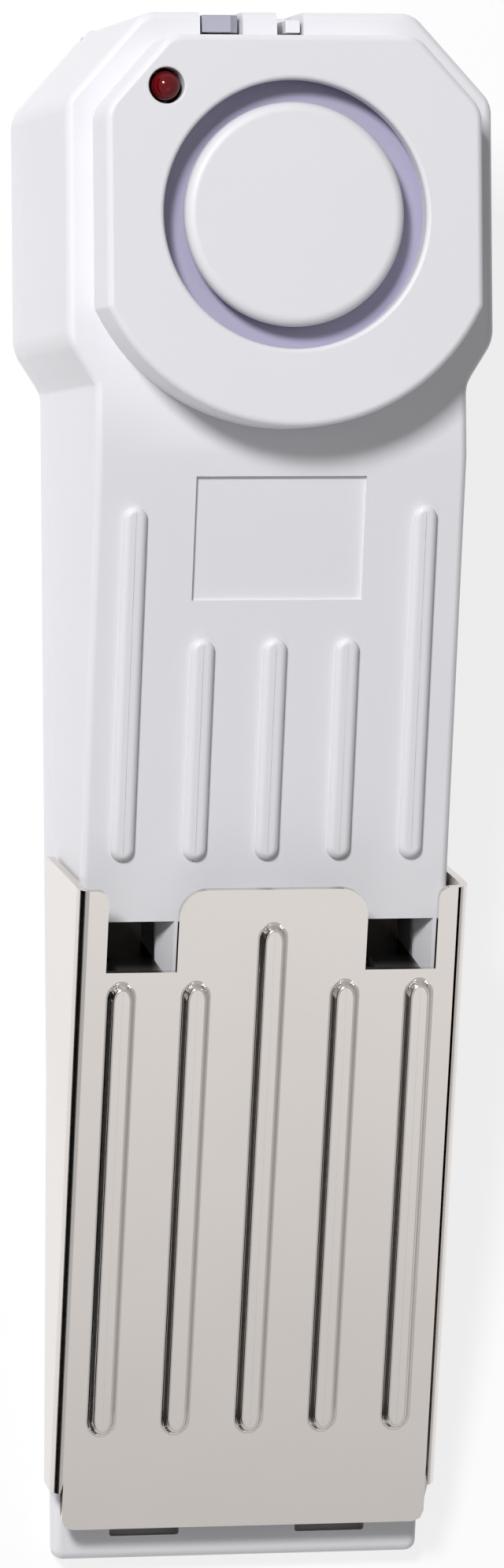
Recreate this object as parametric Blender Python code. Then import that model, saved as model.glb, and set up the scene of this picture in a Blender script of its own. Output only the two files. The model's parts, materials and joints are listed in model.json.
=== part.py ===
"""Wedge-shaped door stop alarm: a white two-part housing, a sprung steel plate on its slope and the
siren, switches, board and battery inside. Metres, +Z up, toe towards -Y, origin under the middle."""

import math

import bmesh
import bpy
from mathutils import Matrix, Vector

MM = 0.001

# Clearances
GAP = 0.3 * MM  # between neighbouring pieces
SEAM = 0.2 * MM  # between the two shells
OVERRUN = 1.0 * MM  # how far a cutter runs past what it cuts

# Housing, outside
HOUSING_LENGTH = 161.0 * MM
HEAD_OVERHANG = 2.9 * MM  # of the head past the body, each side
TOE_HEIGHT = 3.0 * MM
REAR_CHAMFER_WIDTH = 8.3 * MM
REAR_CHAMFER_LENGTH = 9.2 * MM
HEAD_SIDE_LENGTH = 24.6 * MM
NECK_LENGTH = 4.5 * MM
LEDGE_LENGTH = 7.4 * MM  # level top between the neck and the slope
CORNER_RADIUS = 1.0 * MM
CORNER_STEPS = 3

# Housing, walls
WALL = 2.0 * MM
BASE_FLOOR = 2.4 * MM
PAD_PROUD = 0.6 * MM  # the pads hold the base this far off the floor
PARTING_HEIGHT = 5.2 * MM
TOE_BLOCK_LENGTH = 18.5 * MM  # solid toe of the lower shell

# Boss that carries the siren
BOSS_INSET = 2.8 * MM
BOSS_ROUND_BULGE = 2.2 * MM  # its round end's radius over its half width
BOSS_ROUND_STEPS = 14

# Surface features of the slope
LABEL_WIDTH = 18.0 * MM
LABEL_LENGTH = 12.7 * MM
LABEL_SETBACK = 2.0 * MM
LABEL_DEPTH = 0.5 * MM
OUTER_RIB_EDGE = 4.3 * MM  # outer ribs' middle to the body's side
RIB_WIDTH = 2.7 * MM
RIB_HEIGHT = 0.8 * MM
RIB_COUNT = 5
OUTER_RIB_START = 5.0 * MM  # from the start of the slope
INNER_RIB_START = 18.6 * MM
RIB_END_TO_PLATE = 2.9 * MM
RIB_END_STEPS = 5

# Pressure plate
PLATE_THICKNESS = 0.8 * MM
PLATE_LIFT = math.radians(2.0)  # how far it stands up from the slope
ROOF_AT_PLATE_END = 19.98 * MM  # height of the slope under its free end
HINGE_SETBACK = 6.0 * MM  # hinge axis to the toe
HINGE_RISE = 1.86 * MM  # hinge axis over the slope
PLATE_RISE = 1.08 * MM  # plate's upper face over the hinge axis, square to the plate
TONGUE_REACH = 2.4 * MM  # hinge axis to the toe end of the plate
TONGUE_INSET = 1.2 * MM
TONGUE_CORNER = 1.2 * MM
SKIRT_START = 1.6 * MM
SKIRT_REAR_SETBACK = 1.2 * MM
SKIRT_TOE_DEPTH = 4.2 * MM
SKIRT_FREE_DEPTH = 17.6 * MM
PLATE_BEND_RADIUS = 1.5 * MM
PLATE_BEND_STEPS = 3
NOTCH_EDGE = 2.1 * MM  # notches to the body's sides
NOTCH_WIDTH = 7.5 * MM
NOTCH_DEPTH = 8.8 * MM
CENTRE_TAB_CORNER = 3.0 * MM
STRIP_CORNER = 1.2 * MM
PLATE_RIB_EDGE = 3.8 * MM  # outer ribs' middle to the body's side
PLATE_RIB_WIDTH = 3.2 * MM
PLATE_RIB_TOP_WIDTH = 1.9 * MM
PLATE_RIB_HEIGHT = 0.9 * MM
PLATE_RIB_TOE = 7.9 * MM
PLATE_RIB_END = 9.7 * MM  # to the plate's free end
CENTRE_RIB_END = 3.5 * MM
HOOK_WIDTH = 4.5 * MM
HOOK_LENGTH = 12.4 * MM
HOOK_FOOT = 2.8 * MM
TOE_TAB_WIDTH = 7.4 * MM
TOE_TAB_LENGTH = 5.0 * MM
TOE_TAB_EDGE = 9.6 * MM  # tabs' middle to the body's side

# Toe and wells of the housing that take the plate
SADDLE_EDGE = 2.6 * MM  # ends of the ridge to the body's sides
SADDLE_LENGTH = 1.6 * MM
TOE_SLOT_LENGTH = 2.7 * MM
TOE_SLOT_FLOOR = 0.7 * MM
WELL_INNER_ROOM = 0.6 * MM  # past the notch, under the centre tab
WELL_OUTER_WALL = 1.4 * MM
WELL_WALL = 1.2 * MM
WELL_REAR_TO_NOTCH = 5.2 * MM
WELL_LENGTH = 6.5 * MM
WELL_DEPTH = 6.5 * MM

# Trigger under the plate
PLUNGER_SETBACK = 4.2 * MM  # from the plate's free end
PLUNGER_RADIUS = 2.3 * MM
PLUNGER_FLANGE_RADIUS = 3.3 * MM
PLUNGER_FLANGE_THICKNESS = 0.7 * MM
PLUNGER_TIP_RADIUS = 0.8 * MM
PLUNGER_TIP_LENGTH = 0.3 * MM
GUIDE_RADIUS = 4.0 * MM
GUIDE_DEPTH = 3.1 * MM  # under the upper face of the roof
SWITCH_LENGTH = 12.8 * MM
SWITCH_WIDTH = 5.8 * MM
LEVER_ARM = 12.0 * MM
LEVER_OVERHANG = 1.0 * MM
LEVER_WIDTH = 3.6 * MM
LEVER_THICKNESS = 0.3 * MM
LEVER_ANGLE = math.radians(19.0)
LEVER_PIVOT_HEIGHT = 0.8 * MM  # over the switch body
BUTTON_ARM = 4.5 * MM
BUTTON_RADIUS = 0.7 * MM
BUTTON_HOLE_DEPTH = 2.4 * MM
CRADLE_WALL = 0.8 * MM
CRADLE_HEIGHT = 3.5 * MM

# Plate springs
SPRING_SETBACK = 20.2 * MM  # from the plate's free end
SPRING_SPACING = 18.0 * MM
SPRING_RADIUS = 2.5 * MM
SPRING_WIRE = 0.5 * MM
SPRING_TURNS = 5
SPRING_STEPS = 10
SPRING_CUP_DEPTH = 3.5 * MM
SPRING_CUP_WALL = 1.1 * MM
SPRING_CUP_FLOOR = 1.2 * MM

# Siren
SIREN_SIDE_ROOM = 2.3 * MM  # between the siren and the boss's side walls
SIREN_REAR_ROOM = 5.7 * MM  # between the siren and the rear face
SIREN_LIFT = 0.2 * MM  # its underside over the ledge's underside
SIREN_LIP = 1.7 * MM  # how far the boss covers its rim
SIREN_GROOVE = 2.2 * MM  # width of the sound outlet round the cap
SIREN_CAP_THICKNESS = 1.7 * MM
SIREN_CAP_LEG_RADIUS = 1.0 * MM
SIREN_CAP_LEG_INSET = 3.5 * MM
SIREN_CAP_LEGS = 3
SIREN_WALL = 1.2 * MM
SIREN_RIM_TO_DECK = 2.5 * MM
SIREN_DECK = 1.0 * MM
SIREN_HOLE_RADIUS = 3.0 * MM
SIREN_CHAMBER = 0.7 * MM
PIEZO_EDGE_ROOM = 0.7 * MM
PIEZO_THICKNESS = 0.3 * MM
CERAMIC_INSET = 3.5 * MM  # from the piezo disc's edge
CERAMIC_THICKNESS = 0.25 * MM
CLAMP_RING_GRIP = 2.0 * MM  # how far the ring covers the piezo disc
CLAMP_RING_HEIGHT = 1.7 * MM
SIREN_FOOT_RADIUS = 1.2 * MM
SIREN_FOOT_INSET = 1.4 * MM
SIREN_FEET = 4

# Status lamp
LAMP_RADIUS = 1.5 * MM
LAMP_INSET = 6.0 * MM  # from the middle of the head's rear left chamfer, square to it
LAMP_SHIFT = 0.75 * MM  # and from there along the chamfer, rearwards
LAMP_PROUD = 0.6 * MM
LAMP_LENGTH = 5.4 * MM
LAMP_FLANGE_RADIUS = 1.75 * MM
LAMP_FLANGE_THICKNESS = 0.8 * MM
LAMP_LEG_RADIUS = 0.3 * MM
LAMP_LEG_SPACING = 2.54 * MM

# Battery and its bay
BATTERY_LENGTH = 46.4 * MM
BATTERY_WIDTH = 26.5 * MM
BATTERY_HEIGHT = 17.5 * MM
BATTERY_CORNER = 2.0 * MM
BATTERY_SETBACK = 16.1 * MM  # from the rear face
TERMINAL_HEIGHT = 2.1 * MM
TERMINAL_EDGE = 6.9 * MM  # terminals' middle to the battery's side
TERMINAL_RADII = (2.8 * MM, 3.8 * MM)
SNAP_SIDE_ROOM = 0.75 * MM  # in from the battery's sides
SNAP_END_ROOM = 2.75 * MM  # in from its top and bottom
SNAP_THICKNESS = 4.4 * MM
BAY_WALL = 0.8 * MM
BAY_END_HEIGHT = 12.0 * MM

# Battery door, a dovetail that slides out at the rear
DOOR_THICKNESS = 1.4 * MM
DOOR_LIP = 0.35 * MM  # past the bay, each side
DOOR_UNDERCUT = 1.0 * MM
DOOR_FRONT_TO_BAY = 5.0 * MM
DOOR_GROOVES = 4
DOOR_GROOVE_WIDTH = 1.0 * MM
DOOR_GROOVE_PITCH = 2.4 * MM
DOOR_GROOVE_DEPTH = 0.5 * MM
DOOR_GROOVE_LENGTH = 14.0 * MM
DOOR_GRIP_SETBACK = 4.0 * MM

# Screws
HOUSING_SCREW_RADIUS = 1.2 * MM
HOUSING_SCREW_LENGTH = 8.0 * MM
HOUSING_SCREW_HEAD_RADIUS = 2.3 * MM
HOUSING_SCREW_HEAD = 1.6 * MM
HOUSING_SCREW_SINK = 0.4 * MM
FRONT_SCREW_EDGE = 5.6 * MM  # from the body's side
FRONT_SCREW_TO_SPRING = 6.0 * MM
DOOR_TO_REAR_SCREW = 0.6 * MM
REAR_SCREW_EDGE = 4.1 * MM  # from the head's side
REAR_SCREW_SETBACK = 14.5 * MM
SCREW_POST_RADIUS = 2.8 * MM
SMALL_SCREW_RADIUS = 0.9 * MM
SMALL_SCREW_LENGTH = 6.0 * MM
SMALL_SCREW_HEAD_RADIUS = 1.7 * MM
SMALL_SCREW_HEAD = 1.1 * MM
SCREW_SLOT_WIDTH = 0.6 * MM
SCREW_SLOT_DEPTH = 0.5 * MM
BOARD_POST_RADIUS = 2.3 * MM

# Circuit board
BOARD_THICKNESS = 1.2 * MM
BOARD_TO_LEDGE = 4.8 * MM  # front edge ahead of the level top
BOARD_SCREW_INSET = 3.5 * MM  # from the front edge
BOARD_SCREW_EDGE = 3.2 * MM  # from the sides
BOARD_EAR_SIDE = 0.9 * MM  # past the lamp's legs, left and right
BOARD_EAR_REAR = 2.1 * MM  # behind the lamp's axis
BOARD_EAR_FRONT = 2.9 * MM  # ahead of it
PART_ROOM = 5.7 * MM  # height between the board's parts and the ledge over them

# Switches in the rear wall
SWITCH_BOARD_THICKNESS = 1.0 * MM
SWITCH_BOARD_SETBACK = 7.9 * MM  # its rear face to the rear face of the housing
SWITCH_BOARD_MARGIN = 1.1 * MM  # past the two switch bodies
SWITCH_BOARD_HEIGHT = 14.0 * MM
SLIDE_BODY_WIDTH = 4.6 * MM
SLIDE_BODY_HEIGHT = 8.6 * MM
SLIDE_BODY_DEPTH = 4.0 * MM
SLIDE_STEM_WIDTH = 1.5 * MM
SLIDE_STEM_HEIGHT = 1.8 * MM
SLIDE_STEM_SINK = 1.6 * MM
SLIDE_SLOT_DEPTH = 2.2 * MM
KNOB_TOP_DROP = 0.4 * MM  # below the shoulder
KNOB_HEIGHT = 5.6 * MM
LAMP_TO_POWER_KNOB = 7.3 * MM
KNOB_PITCH = 7.6 * MM
POWER_KNOB_WIDTH = 3.9 * MM
POWER_KNOB_BACK = 0.3 * MM  # in from the rear face
POWER_KNOB_CORNER = 0.9 * MM
POWER_TRAVEL = 3.0 * MM
SENSITIVITY_KNOB_WIDTH = 1.5 * MM
SENSITIVITY_KNOB_BACK = 0.8 * MM
SENSITIVITY_TRAVEL = 3.0 * MM
SENSITIVITY_DARK_GAP = 1.0 * MM  # open part of its notch, beside the knob
KNOB_FRONT_SETBACK = 2.1 * MM
SWITCH_POST_WIDTH = 4.0 * MM
SWITCH_POST_HEIGHT = 4.0 * MM
SWITCH_POST_SHIFT = 0.5 * MM  # outwards from the knobs' middles

# Board components, each place as X and the distance from the start of the level top
COIL_RADIUS = 4.2 * MM
COIL_CORE_RADIUS = 1.8 * MM
COIL_FLANGE = 0.7 * MM
COIL_PLACE = (-5.5 * MM, 6.4 * MM)
COIL_TOP_ROOM = 0.5 * MM  # under the ledge
CHIP_SIZE = (9.6 * MM, 6.4 * MM, 3.2 * MM)
CHIP_PLACE = (5.5 * MM, 6.4 * MM)
TRANSISTOR_RADIUS = 2.4 * MM
TRANSISTOR_FLAT = 1.2 * MM
TRANSISTOR_TOP_ROOM = 1.1 * MM
TRANSISTOR_PLACE = (-3.5 * MM, 15.2 * MM)
CAPACITOR_RADIUS = 2.5 * MM
CAPACITOR_TOP_ROOM = 0.7 * MM
CAPACITOR_PLACE = (4.5 * MM, 16.7 * MM)
RESISTOR_RADIUS = 0.9 * MM
RESISTOR_LENGTH = 4.2 * MM
RESISTOR_PLACE = (5.0 * MM, 22.7 * MM)
RESISTOR_PITCH = 3.0 * MM
RESISTORS = 3
SENSOR_TOP_ROOM = 1.1 * MM
SENSOR_LENGTH = 10.0 * MM
SENSOR_PLACE = (-4.5 * MM, 25.2 * MM)

# Wires
WIRE_RADIUS = 0.55 * MM
WIRE_SIDES_RESOLUTION = 2
WIRE_POINTS = 22

# Anti-slip pads
PAD_THICKNESS = 1.6 * MM
PAD_CORNER = 2.0 * MM
FRONT_PAD_WIDTH = 19.0 * MM
FRONT_PAD_SETBACK = 9.0 * MM
FRONT_PAD_TO_DOOR = 18.4 * MM
REAR_PAD_WIDTH = 4.4 * MM
REAR_PAD_LENGTH = 13.0 * MM
REAR_PAD_EDGE = 3.9 * MM  # its middle to the head's side
REAR_PAD_TO_SCREW = 6.5 * MM  # its rear end to the screw

ROUND_STEPS = 24
SMALL_ROUND_STEPS = 12

# Widths worked out from the sizes above, outwards from the battery
BAY_HALF = BATTERY_WIDTH / 2 + GAP
DOOR_HALF_WIDTH = BAY_HALF + DOOR_LIP
CHANNEL_HALF = DOOR_HALF_WIDTH + DOOR_UNDERCUT + GAP
REAR_SCREW_X = CHANNEL_HALF + DOOR_TO_REAR_SCREW + HOUSING_SCREW_HEAD_RADIUS + GAP
HEAD_WIDTH = 2 * (REAR_SCREW_X + REAR_SCREW_EDGE)
BODY_WIDTH = HEAD_WIDTH - 2 * HEAD_OVERHANG
FRONT_SCREW_X = BODY_WIDTH / 2 - FRONT_SCREW_EDGE
RIB_PITCH = (BODY_WIDTH - 2 * OUTER_RIB_EDGE) / (RIB_COUNT - 1)
PLATE_RIB_PITCH = (BODY_WIDTH - 2 * PLATE_RIB_EDGE) / (RIB_COUNT - 1)
NOTCH_OUTER = BODY_WIDTH / 2 - NOTCH_EDGE
NOTCH_INNER = NOTCH_OUTER - NOTCH_WIDTH
WELL_INNER = NOTCH_INNER - WELL_INNER_ROOM
TOE_TAB_CENTRE = BODY_WIDTH / 2 - TOE_TAB_EDGE
BOSS_HALF = HEAD_WIDTH / 2 - BOSS_INSET
SIREN_RADIUS = BOSS_HALF - WALL - SIREN_SIDE_ROOM
SIREN_OPENING_RADIUS = SIREN_RADIUS - SIREN_LIP
SIREN_CAP_RADIUS = SIREN_OPENING_RADIUS - SIREN_GROOVE
PIEZO_RADIUS = SIREN_RADIUS - SIREN_WALL - PIEZO_EDGE_ROOM
CLAMP_RING_INNER = PIEZO_RADIUS - CLAMP_RING_GRIP
BOARD_HALF = BAY_HALF + BAY_WALL - GAP / 2
BOARD_SCREW_X = BOARD_HALF - BOARD_SCREW_EDGE
TERMINAL_SPACING = BATTERY_WIDTH - 2 * TERMINAL_EDGE

# Heights, upwards from the base
BASE_BOTTOM = PAD_PROUD
FLOOR_TOP = BASE_BOTTOM + BASE_FLOOR
UPPER_BOTTOM = PARTING_HEIGHT + SEAM
DOOR_TOP = BASE_BOTTOM + DOOR_THICKNESS
BATTERY_BOTTOM = DOOR_TOP + GAP
BATTERY_TOP = BATTERY_BOTTOM + BATTERY_HEIGHT
BATTERY_MIDDLE = BATTERY_BOTTOM + BATTERY_HEIGHT / 2
SNAP_HALF_HEIGHT = BATTERY_HEIGHT / 2 - SNAP_END_ROOM
BOARD_BOTTOM = BATTERY_TOP + GAP + SMALL_SCREW_HEAD + GAP
BOARD_TOP = BOARD_BOTTOM + BOARD_THICKNESS
PARTS_BOTTOM = BOARD_TOP + GAP
LEDGE_UNDERSIDE = PARTS_BOTTOM + PART_ROOM
SHOULDER_HEIGHT = LEDGE_UNDERSIDE + WALL
SIREN_BOTTOM = LEDGE_UNDERSIDE + SIREN_LIFT
CLAMP_RING_TOP = SIREN_BOTTOM + CLAMP_RING_HEIGHT
PIEZO_TOP = CLAMP_RING_TOP + GAP + PIEZO_THICKNESS
SIREN_CEILING = PIEZO_TOP + GAP + SIREN_CHAMBER
SIREN_DECK_TOP = SIREN_CEILING + SIREN_DECK
SIREN_TOP = SIREN_DECK_TOP + SIREN_RIM_TO_DECK
BOSS_TOP = SIREN_TOP + GAP + WALL
KNOB_TOP = SHOULDER_HEIGHT - KNOB_TOP_DROP
KNOB_BOTTOM = KNOB_TOP - KNOB_HEIGHT
SLIDE_BODY_TOP = LEDGE_UNDERSIDE - 2 * GAP
SLIDE_BODY_BOTTOM = SLIDE_BODY_TOP - SLIDE_BODY_HEIGHT
SWITCH_BOARD_TOP = LEDGE_UNDERSIDE - GAP
SWITCH_BOARD_BOTTOM = SWITCH_BOARD_TOP - SWITCH_BOARD_HEIGHT
SWITCH_POST_Z = SWITCH_BOARD_BOTTOM + SWITCH_POST_HEIGHT / 2
SCREW_HEAD_BOTTOM = BASE_BOTTOM + HOUSING_SCREW_SINK
SCREW_SHELF = SCREW_HEAD_BOTTOM + HOUSING_SCREW_HEAD + GAP

# Places along the housing, from its two ends
REAR_Y = HOUSING_LENGTH / 2
TOE_Y = -HOUSING_LENGTH / 2
HEAD_REAR_SIDE_Y = REAR_Y - REAR_CHAMFER_LENGTH
HEAD_FRONT_SIDE_Y = HEAD_REAR_SIDE_Y - HEAD_SIDE_LENGTH
NECK_Y = HEAD_FRONT_SIDE_Y - NECK_LENGTH
SLOPE_Y = NECK_Y - LEDGE_LENGTH
SLOPE = (SHOULDER_HEIGHT - TOE_HEIGHT) / (SLOPE_Y - TOE_Y)
SIREN_Y = REAR_Y - SIREN_REAR_ROOM - SIREN_RADIUS
TOE_JOINT_Y = TOE_Y + TOE_BLOCK_LENGTH
BATTERY_REAR_Y = REAR_Y - BATTERY_SETBACK
BATTERY_FRONT_Y = BATTERY_REAR_Y - BATTERY_LENGTH
BOARD_FRONT_Y = SLOPE_Y - BOARD_TO_LEDGE
BOARD_SCREW_Y = BOARD_FRONT_Y + BOARD_SCREW_INSET
SWITCH_BOARD_Y = REAR_Y - SWITCH_BOARD_SETBACK
BOARD_REAR_Y = SWITCH_BOARD_Y - SWITCH_BOARD_THICKNESS - GAP
WINDOW_FRONT_Y = REAR_Y - KNOB_FRONT_SETBACK - GAP
REAR_SCREW_Y = REAR_Y - REAR_SCREW_SETBACK

# Plate: its hinge over the toe, its free end where the slope has a given height
HINGE_Y = TOE_Y + HINGE_SETBACK
HINGE_HEIGHT = TOE_HEIGHT + HINGE_SETBACK * SLOPE + HINGE_RISE
PLATE_ANGLE = math.atan(SLOPE) + PLATE_LIFT
PLATE_FREE_Y = SLOPE_Y - (SHOULDER_HEIGHT - ROOF_AT_PLATE_END) / SLOPE
PLATE_REACH = (PLATE_FREE_Y - HINGE_Y + PLATE_RISE * math.sin(PLATE_ANGLE)) / math.cos(PLATE_ANGLE)
PLUNGER_Y = PLATE_FREE_Y - PLUNGER_SETBACK
SPRING_Y = PLATE_FREE_Y - SPRING_SETBACK
FRONT_SCREW_Y = SPRING_Y - FRONT_SCREW_TO_SPRING

# Lamp by the rear left chamfer, and the switches beside it
CHAMFER_TURN = math.atan2(REAR_CHAMFER_LENGTH, REAR_CHAMFER_WIDTH)
LAMP_IN = (LAMP_INSET * math.sin(CHAMFER_TURN), LAMP_INSET * math.cos(CHAMFER_TURN))
LAMP_ALONG = (LAMP_SHIFT * math.cos(CHAMFER_TURN), LAMP_SHIFT * math.sin(CHAMFER_TURN))
LAMP_X = (REAR_CHAMFER_WIDTH - HEAD_WIDTH) / 2 + LAMP_IN[0] + LAMP_ALONG[0]
LAMP_Y = REAR_Y - REAR_CHAMFER_LENGTH / 2 - LAMP_IN[1] + LAMP_ALONG[1]
POWER_X = LAMP_X + LAMP_TO_POWER_KNOB
SENSITIVITY_X = POWER_X + KNOB_PITCH
SWITCH_POST_X = (POWER_X - SWITCH_POST_SHIFT, SENSITIVITY_X + SWITCH_POST_SHIFT)

HOUSING_SCREWS = {
    "front_left": (-FRONT_SCREW_X, FRONT_SCREW_Y),
    "front_right": (FRONT_SCREW_X, FRONT_SCREW_Y),
    "rear_left": (-REAR_SCREW_X, REAR_SCREW_Y),
    "rear_right": (REAR_SCREW_X, REAR_SCREW_Y),
}

# Colour, roughness and metallic value of each finish
FINISHES = {
    "white_abs": ("#E1E1E7", 0.45, 0.0),
    "pressed_steel": ("#CBC5C0", 0.3, 1.0),
    "dark_plastic": ("#3A3444", 0.2, 0.0),
    "grey_plastic": ("#A6A7B0", 0.5, 0.0),
    "black_plastic": ("#1B1B1E", 0.5, 0.0),
    "red_lens": ("#7A0A12", 0.15, 0.0),
    "board_green": ("#1E5B36", 0.5, 0.0),
    "brass": ("#C6A353", 0.3, 1.0),
    "ceramic": ("#E6E2D6", 0.6, 0.0),
    "copper_wire": ("#B5643A", 0.35, 1.0),
    "zinc_steel": ("#B9BCC0", 0.35, 1.0),
    "battery_sleeve": ("#2E3136", 0.4, 0.0),
    "resistor_body": ("#C9B48A", 0.5, 0.0),
    "red_wire": ("#B0201C", 0.5, 0.0),
    "black_wire": ("#17171A", 0.5, 0.0),
    "yellow_wire": ("#D2B13A", 0.5, 0.0),
    "rubber": ("#2B2B2D", 0.9, 0.0),
}


def clear_scene():
    for obj in list(bpy.data.objects):
        bpy.data.objects.remove(obj)


def linear(channel):
    return channel / 12.92 if channel <= 0.04045 else ((channel + 0.055) / 1.055) ** 2.4


def finish_material(name):
    if name in bpy.data.materials:
        return bpy.data.materials[name]
    colour, roughness, metallic = FINISHES[name]
    channels = [linear(int(colour[i : i + 2], 16) / 255) for i in (1, 3, 5)]
    material = bpy.data.materials.new(name)
    material.use_nodes = True
    shader = material.node_tree.nodes["Principled BSDF"]
    shader.inputs["Base Color"].default_value = (*channels, 1)
    shader.inputs["Roughness"].default_value = roughness
    shader.inputs["Metallic"].default_value = metallic
    return material


def stored(name, mesh):
    """The bmesh as an object in the scene, its faces pointing out."""
    bmesh.ops.recalc_face_normals(mesh, faces=mesh.faces)
    data = bpy.data.meshes.new(name)
    mesh.to_mesh(data)
    mesh.free()
    obj = bpy.data.objects.new(name, data)
    bpy.context.scene.collection.objects.link(obj)
    return obj


def finished(obj, finish, place=(0, 0, 0), smooth=False):
    """The object with its finish, moved to its place and held by the part's empty."""
    obj.data.materials.clear()
    obj.data.materials.append(finish_material(finish))
    obj.location = place
    obj.parent = bpy.data.objects["door_stop_alarm"]
    if smooth:
        obj.data.shade_smooth()
        obj.data.set_sharp_from_angle(angle=math.radians(35))
    return obj


def level(height, y):
    return height(y) if callable(height) else height


def prism(name, outline, low, high):
    """Solid between two heights, each a number or a function of Y, over an outline in X and Y."""
    mesh = bmesh.new()
    face = mesh.faces.new([mesh.verts.new((x, y, 0)) for x, y in outline])
    raised = bmesh.ops.extrude_face_region(mesh, geom=[face])
    upper = {item for item in raised["geom"] if isinstance(item, bmesh.types.BMVert)}
    for vert in mesh.verts:
        vert.co.z = level(high if vert in upper else low, vert.co.y)
    return stored(name, mesh)


def side_prism(name, outline, half_width):
    """Solid over an outline in Y and Z, as wide to the left as to the right."""
    solid = prism(name, outline, -half_width, half_width)
    solid.data.transform(Matrix(((0, 0, 1, 0), (1, 0, 0, 0), (0, 1, 0, 0), (0, 0, 0, 1))))
    return solid


def end_prism(name, outline, start_y, end_y):
    """Solid over an outline in X and Z, from one Y to another."""
    solid = prism(name, outline, -end_y, -start_y)
    solid.data.transform(Matrix(((1, 0, 0, 0), (0, 0, -1, 0), (0, 1, 0, 0), (0, 0, 0, 1))))
    return solid


def box(name, low, high):
    outline = [(low[0], low[1]), (high[0], low[1]), (high[0], high[1]), (low[0], high[1])]
    return prism(name, outline, low[2], high[2])


def circle(radius, x=0, y=0, steps=ROUND_STEPS):
    turns = [math.tau * i / steps for i in range(steps)]
    return [(x + radius * math.cos(turn), y + radius * math.sin(turn)) for turn in turns]


def stadium(width, start_y, end_y, x=0, steps=RIB_END_STEPS):
    """Outline with round ends, along Y."""
    radius = width / 2
    points = []
    for centre_y, first in ((start_y + radius, math.pi), (end_y - radius, 0)):
        for i in range(steps + 1):
            turn = first + math.pi * i / steps
            points.append((x + radius * math.cos(turn), centre_y + radius * math.sin(turn)))
    return points


def turned(name, profile, steps=ROUND_STEPS):
    """Solid of revolution about Z from (radius, height) points in order, closed or from axis to axis."""
    mesh = bmesh.new()
    verts = [mesh.verts.new((radius, 0, height)) for radius, height in profile]
    edges = [mesh.edges.new(pair) for pair in zip(verts, verts[1:])]
    if profile[0][0] > 0:
        edges.append(mesh.edges.new((verts[-1], verts[0])))
    bmesh.ops.spin(
        mesh,
        geom=verts + edges,
        cent=(0, 0, 0),
        axis=(0, 0, 1),
        angle=math.tau,
        steps=steps,
        use_merge=True,
    )
    bmesh.ops.remove_doubles(mesh, verts=mesh.verts, dist=GAP / 100)
    return stored(name, mesh)


def cylinder(name, radius, low, high, x=0, y=0, steps=ROUND_STEPS):
    return prism(name, circle(radius, x, y, steps), low, high)


def inset(points, distance):
    """The closed outline, anticlockwise, moved inwards."""
    moved = []
    for i, point in enumerate(points):
        here = Vector(point)
        before = (here - Vector(points[i - 1])).normalized()
        after = (Vector(points[(i + 1) % len(points)]) - here).normalized()
        normals = (Vector((-before.y, before.x)), Vector((-after.y, after.x)))
        reach = distance / (1 + normals[0].dot(normals[1]))
        moved.append(tuple(here + (normals[0] + normals[1]) * reach))
    return moved


def rounded(points, radius, steps=CORNER_STEPS):
    """The closed outline with each corner turned into an arc."""
    result = []
    for i, point in enumerate(points):
        here = Vector(point)
        back = (Vector(points[i - 1]) - here).normalized()
        ahead = (Vector(points[(i + 1) % len(points)]) - here).normalized()
        half = back.angle(ahead) / 2
        centre = here + (back + ahead).normalized() * (radius / math.sin(half))
        start = here + back * (radius / math.tan(half)) - centre
        end = here + ahead * (radius / math.tan(half)) - centre
        turn = math.atan2(start.cross(end), start.dot(end))
        first = math.atan2(start.y, start.x)
        for step in range(steps + 1):
            angle = first + turn * step / steps
            result.append((centre.x + radius * math.cos(angle), centre.y + radius * math.sin(angle)))
    return result


def combine(body, tool, operation):
    """The body joined with the tool, cut by it or kept where both are. The tool is used up."""
    modifier = body.modifiers.new(operation.title(), "BOOLEAN")
    modifier.operation = operation
    modifier.object = tool
    modifier.solver = "EXACT"
    graph = bpy.context.evaluated_depsgraph_get()
    graph.update()
    result = bpy.data.meshes.new_from_object(body.evaluated_get(graph))
    body.modifiers.clear()
    body.data = result
    bpy.data.objects.remove(tool)


def join(body, *tools):
    for tool in tools:
        combine(body, tool, "UNION")
    return body


def cut(body, *tools):
    for tool in tools:
        combine(body, tool, "DIFFERENCE")
    return body


def keep_inside(body, tool):
    combine(body, tool, "INTERSECT")
    return body


def tube(name, points, radius, finish):
    """Wire along a smooth curve through the points, with flat ends."""
    guide = [Vector(point) for point in points]
    guide = [2 * guide[0] - guide[1], *guide, 2 * guide[-1] - guide[-2]]
    spans = len(guide) - 3
    path = []
    for i in range(WIRE_POINTS):
        along = spans * i / (WIRE_POINTS - 1)
        span = min(int(along), spans - 1)
        t = along - span
        a, b, c, d = guide[span : span + 4]
        path.append(
            (2 * b + (c - a) * t + (2 * a - 5 * b + 4 * c - d) * t**2 + (3 * b - a - 3 * c + d) * t**3) / 2
        )
    return swept(name, path, radius, WIRE_SIDES_RESOLUTION, finish)


def swept(name, path, radius, resolution, finish):
    curve = bpy.data.curves.new(name, "CURVE")
    curve.dimensions = "3D"
    curve.bevel_depth = radius
    curve.bevel_resolution = resolution
    curve.use_fill_caps = True
    spline = curve.splines.new("POLY")
    spline.points.add(len(path) - 1)
    for point, place in zip(spline.points, path):
        point.co = (*place, 1)
    obj = bpy.data.objects.new(name, curve)
    bpy.context.scene.collection.objects.link(obj)
    curve.materials.append(finish_material(finish))
    obj.parent = bpy.data.objects["door_stop_alarm"]
    return obj


def roof(y):
    """Height of the housing's upper face under the boss, shoulder and slope."""
    return SHOULDER_HEIGHT if y >= SLOPE_Y else SHOULDER_HEIGHT - (SLOPE_Y - y) * SLOPE


def roof_and(offset):
    return lambda y: roof(y) + offset


def head_corners():
    """Right half of the eight-sided head, from the neck to the rear edge."""
    side = HEAD_WIDTH / 2
    rear = side - REAR_CHAMFER_WIDTH
    return [(side, HEAD_FRONT_SIDE_Y), (side, HEAD_REAR_SIDE_Y), (rear, REAR_Y)]


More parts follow.
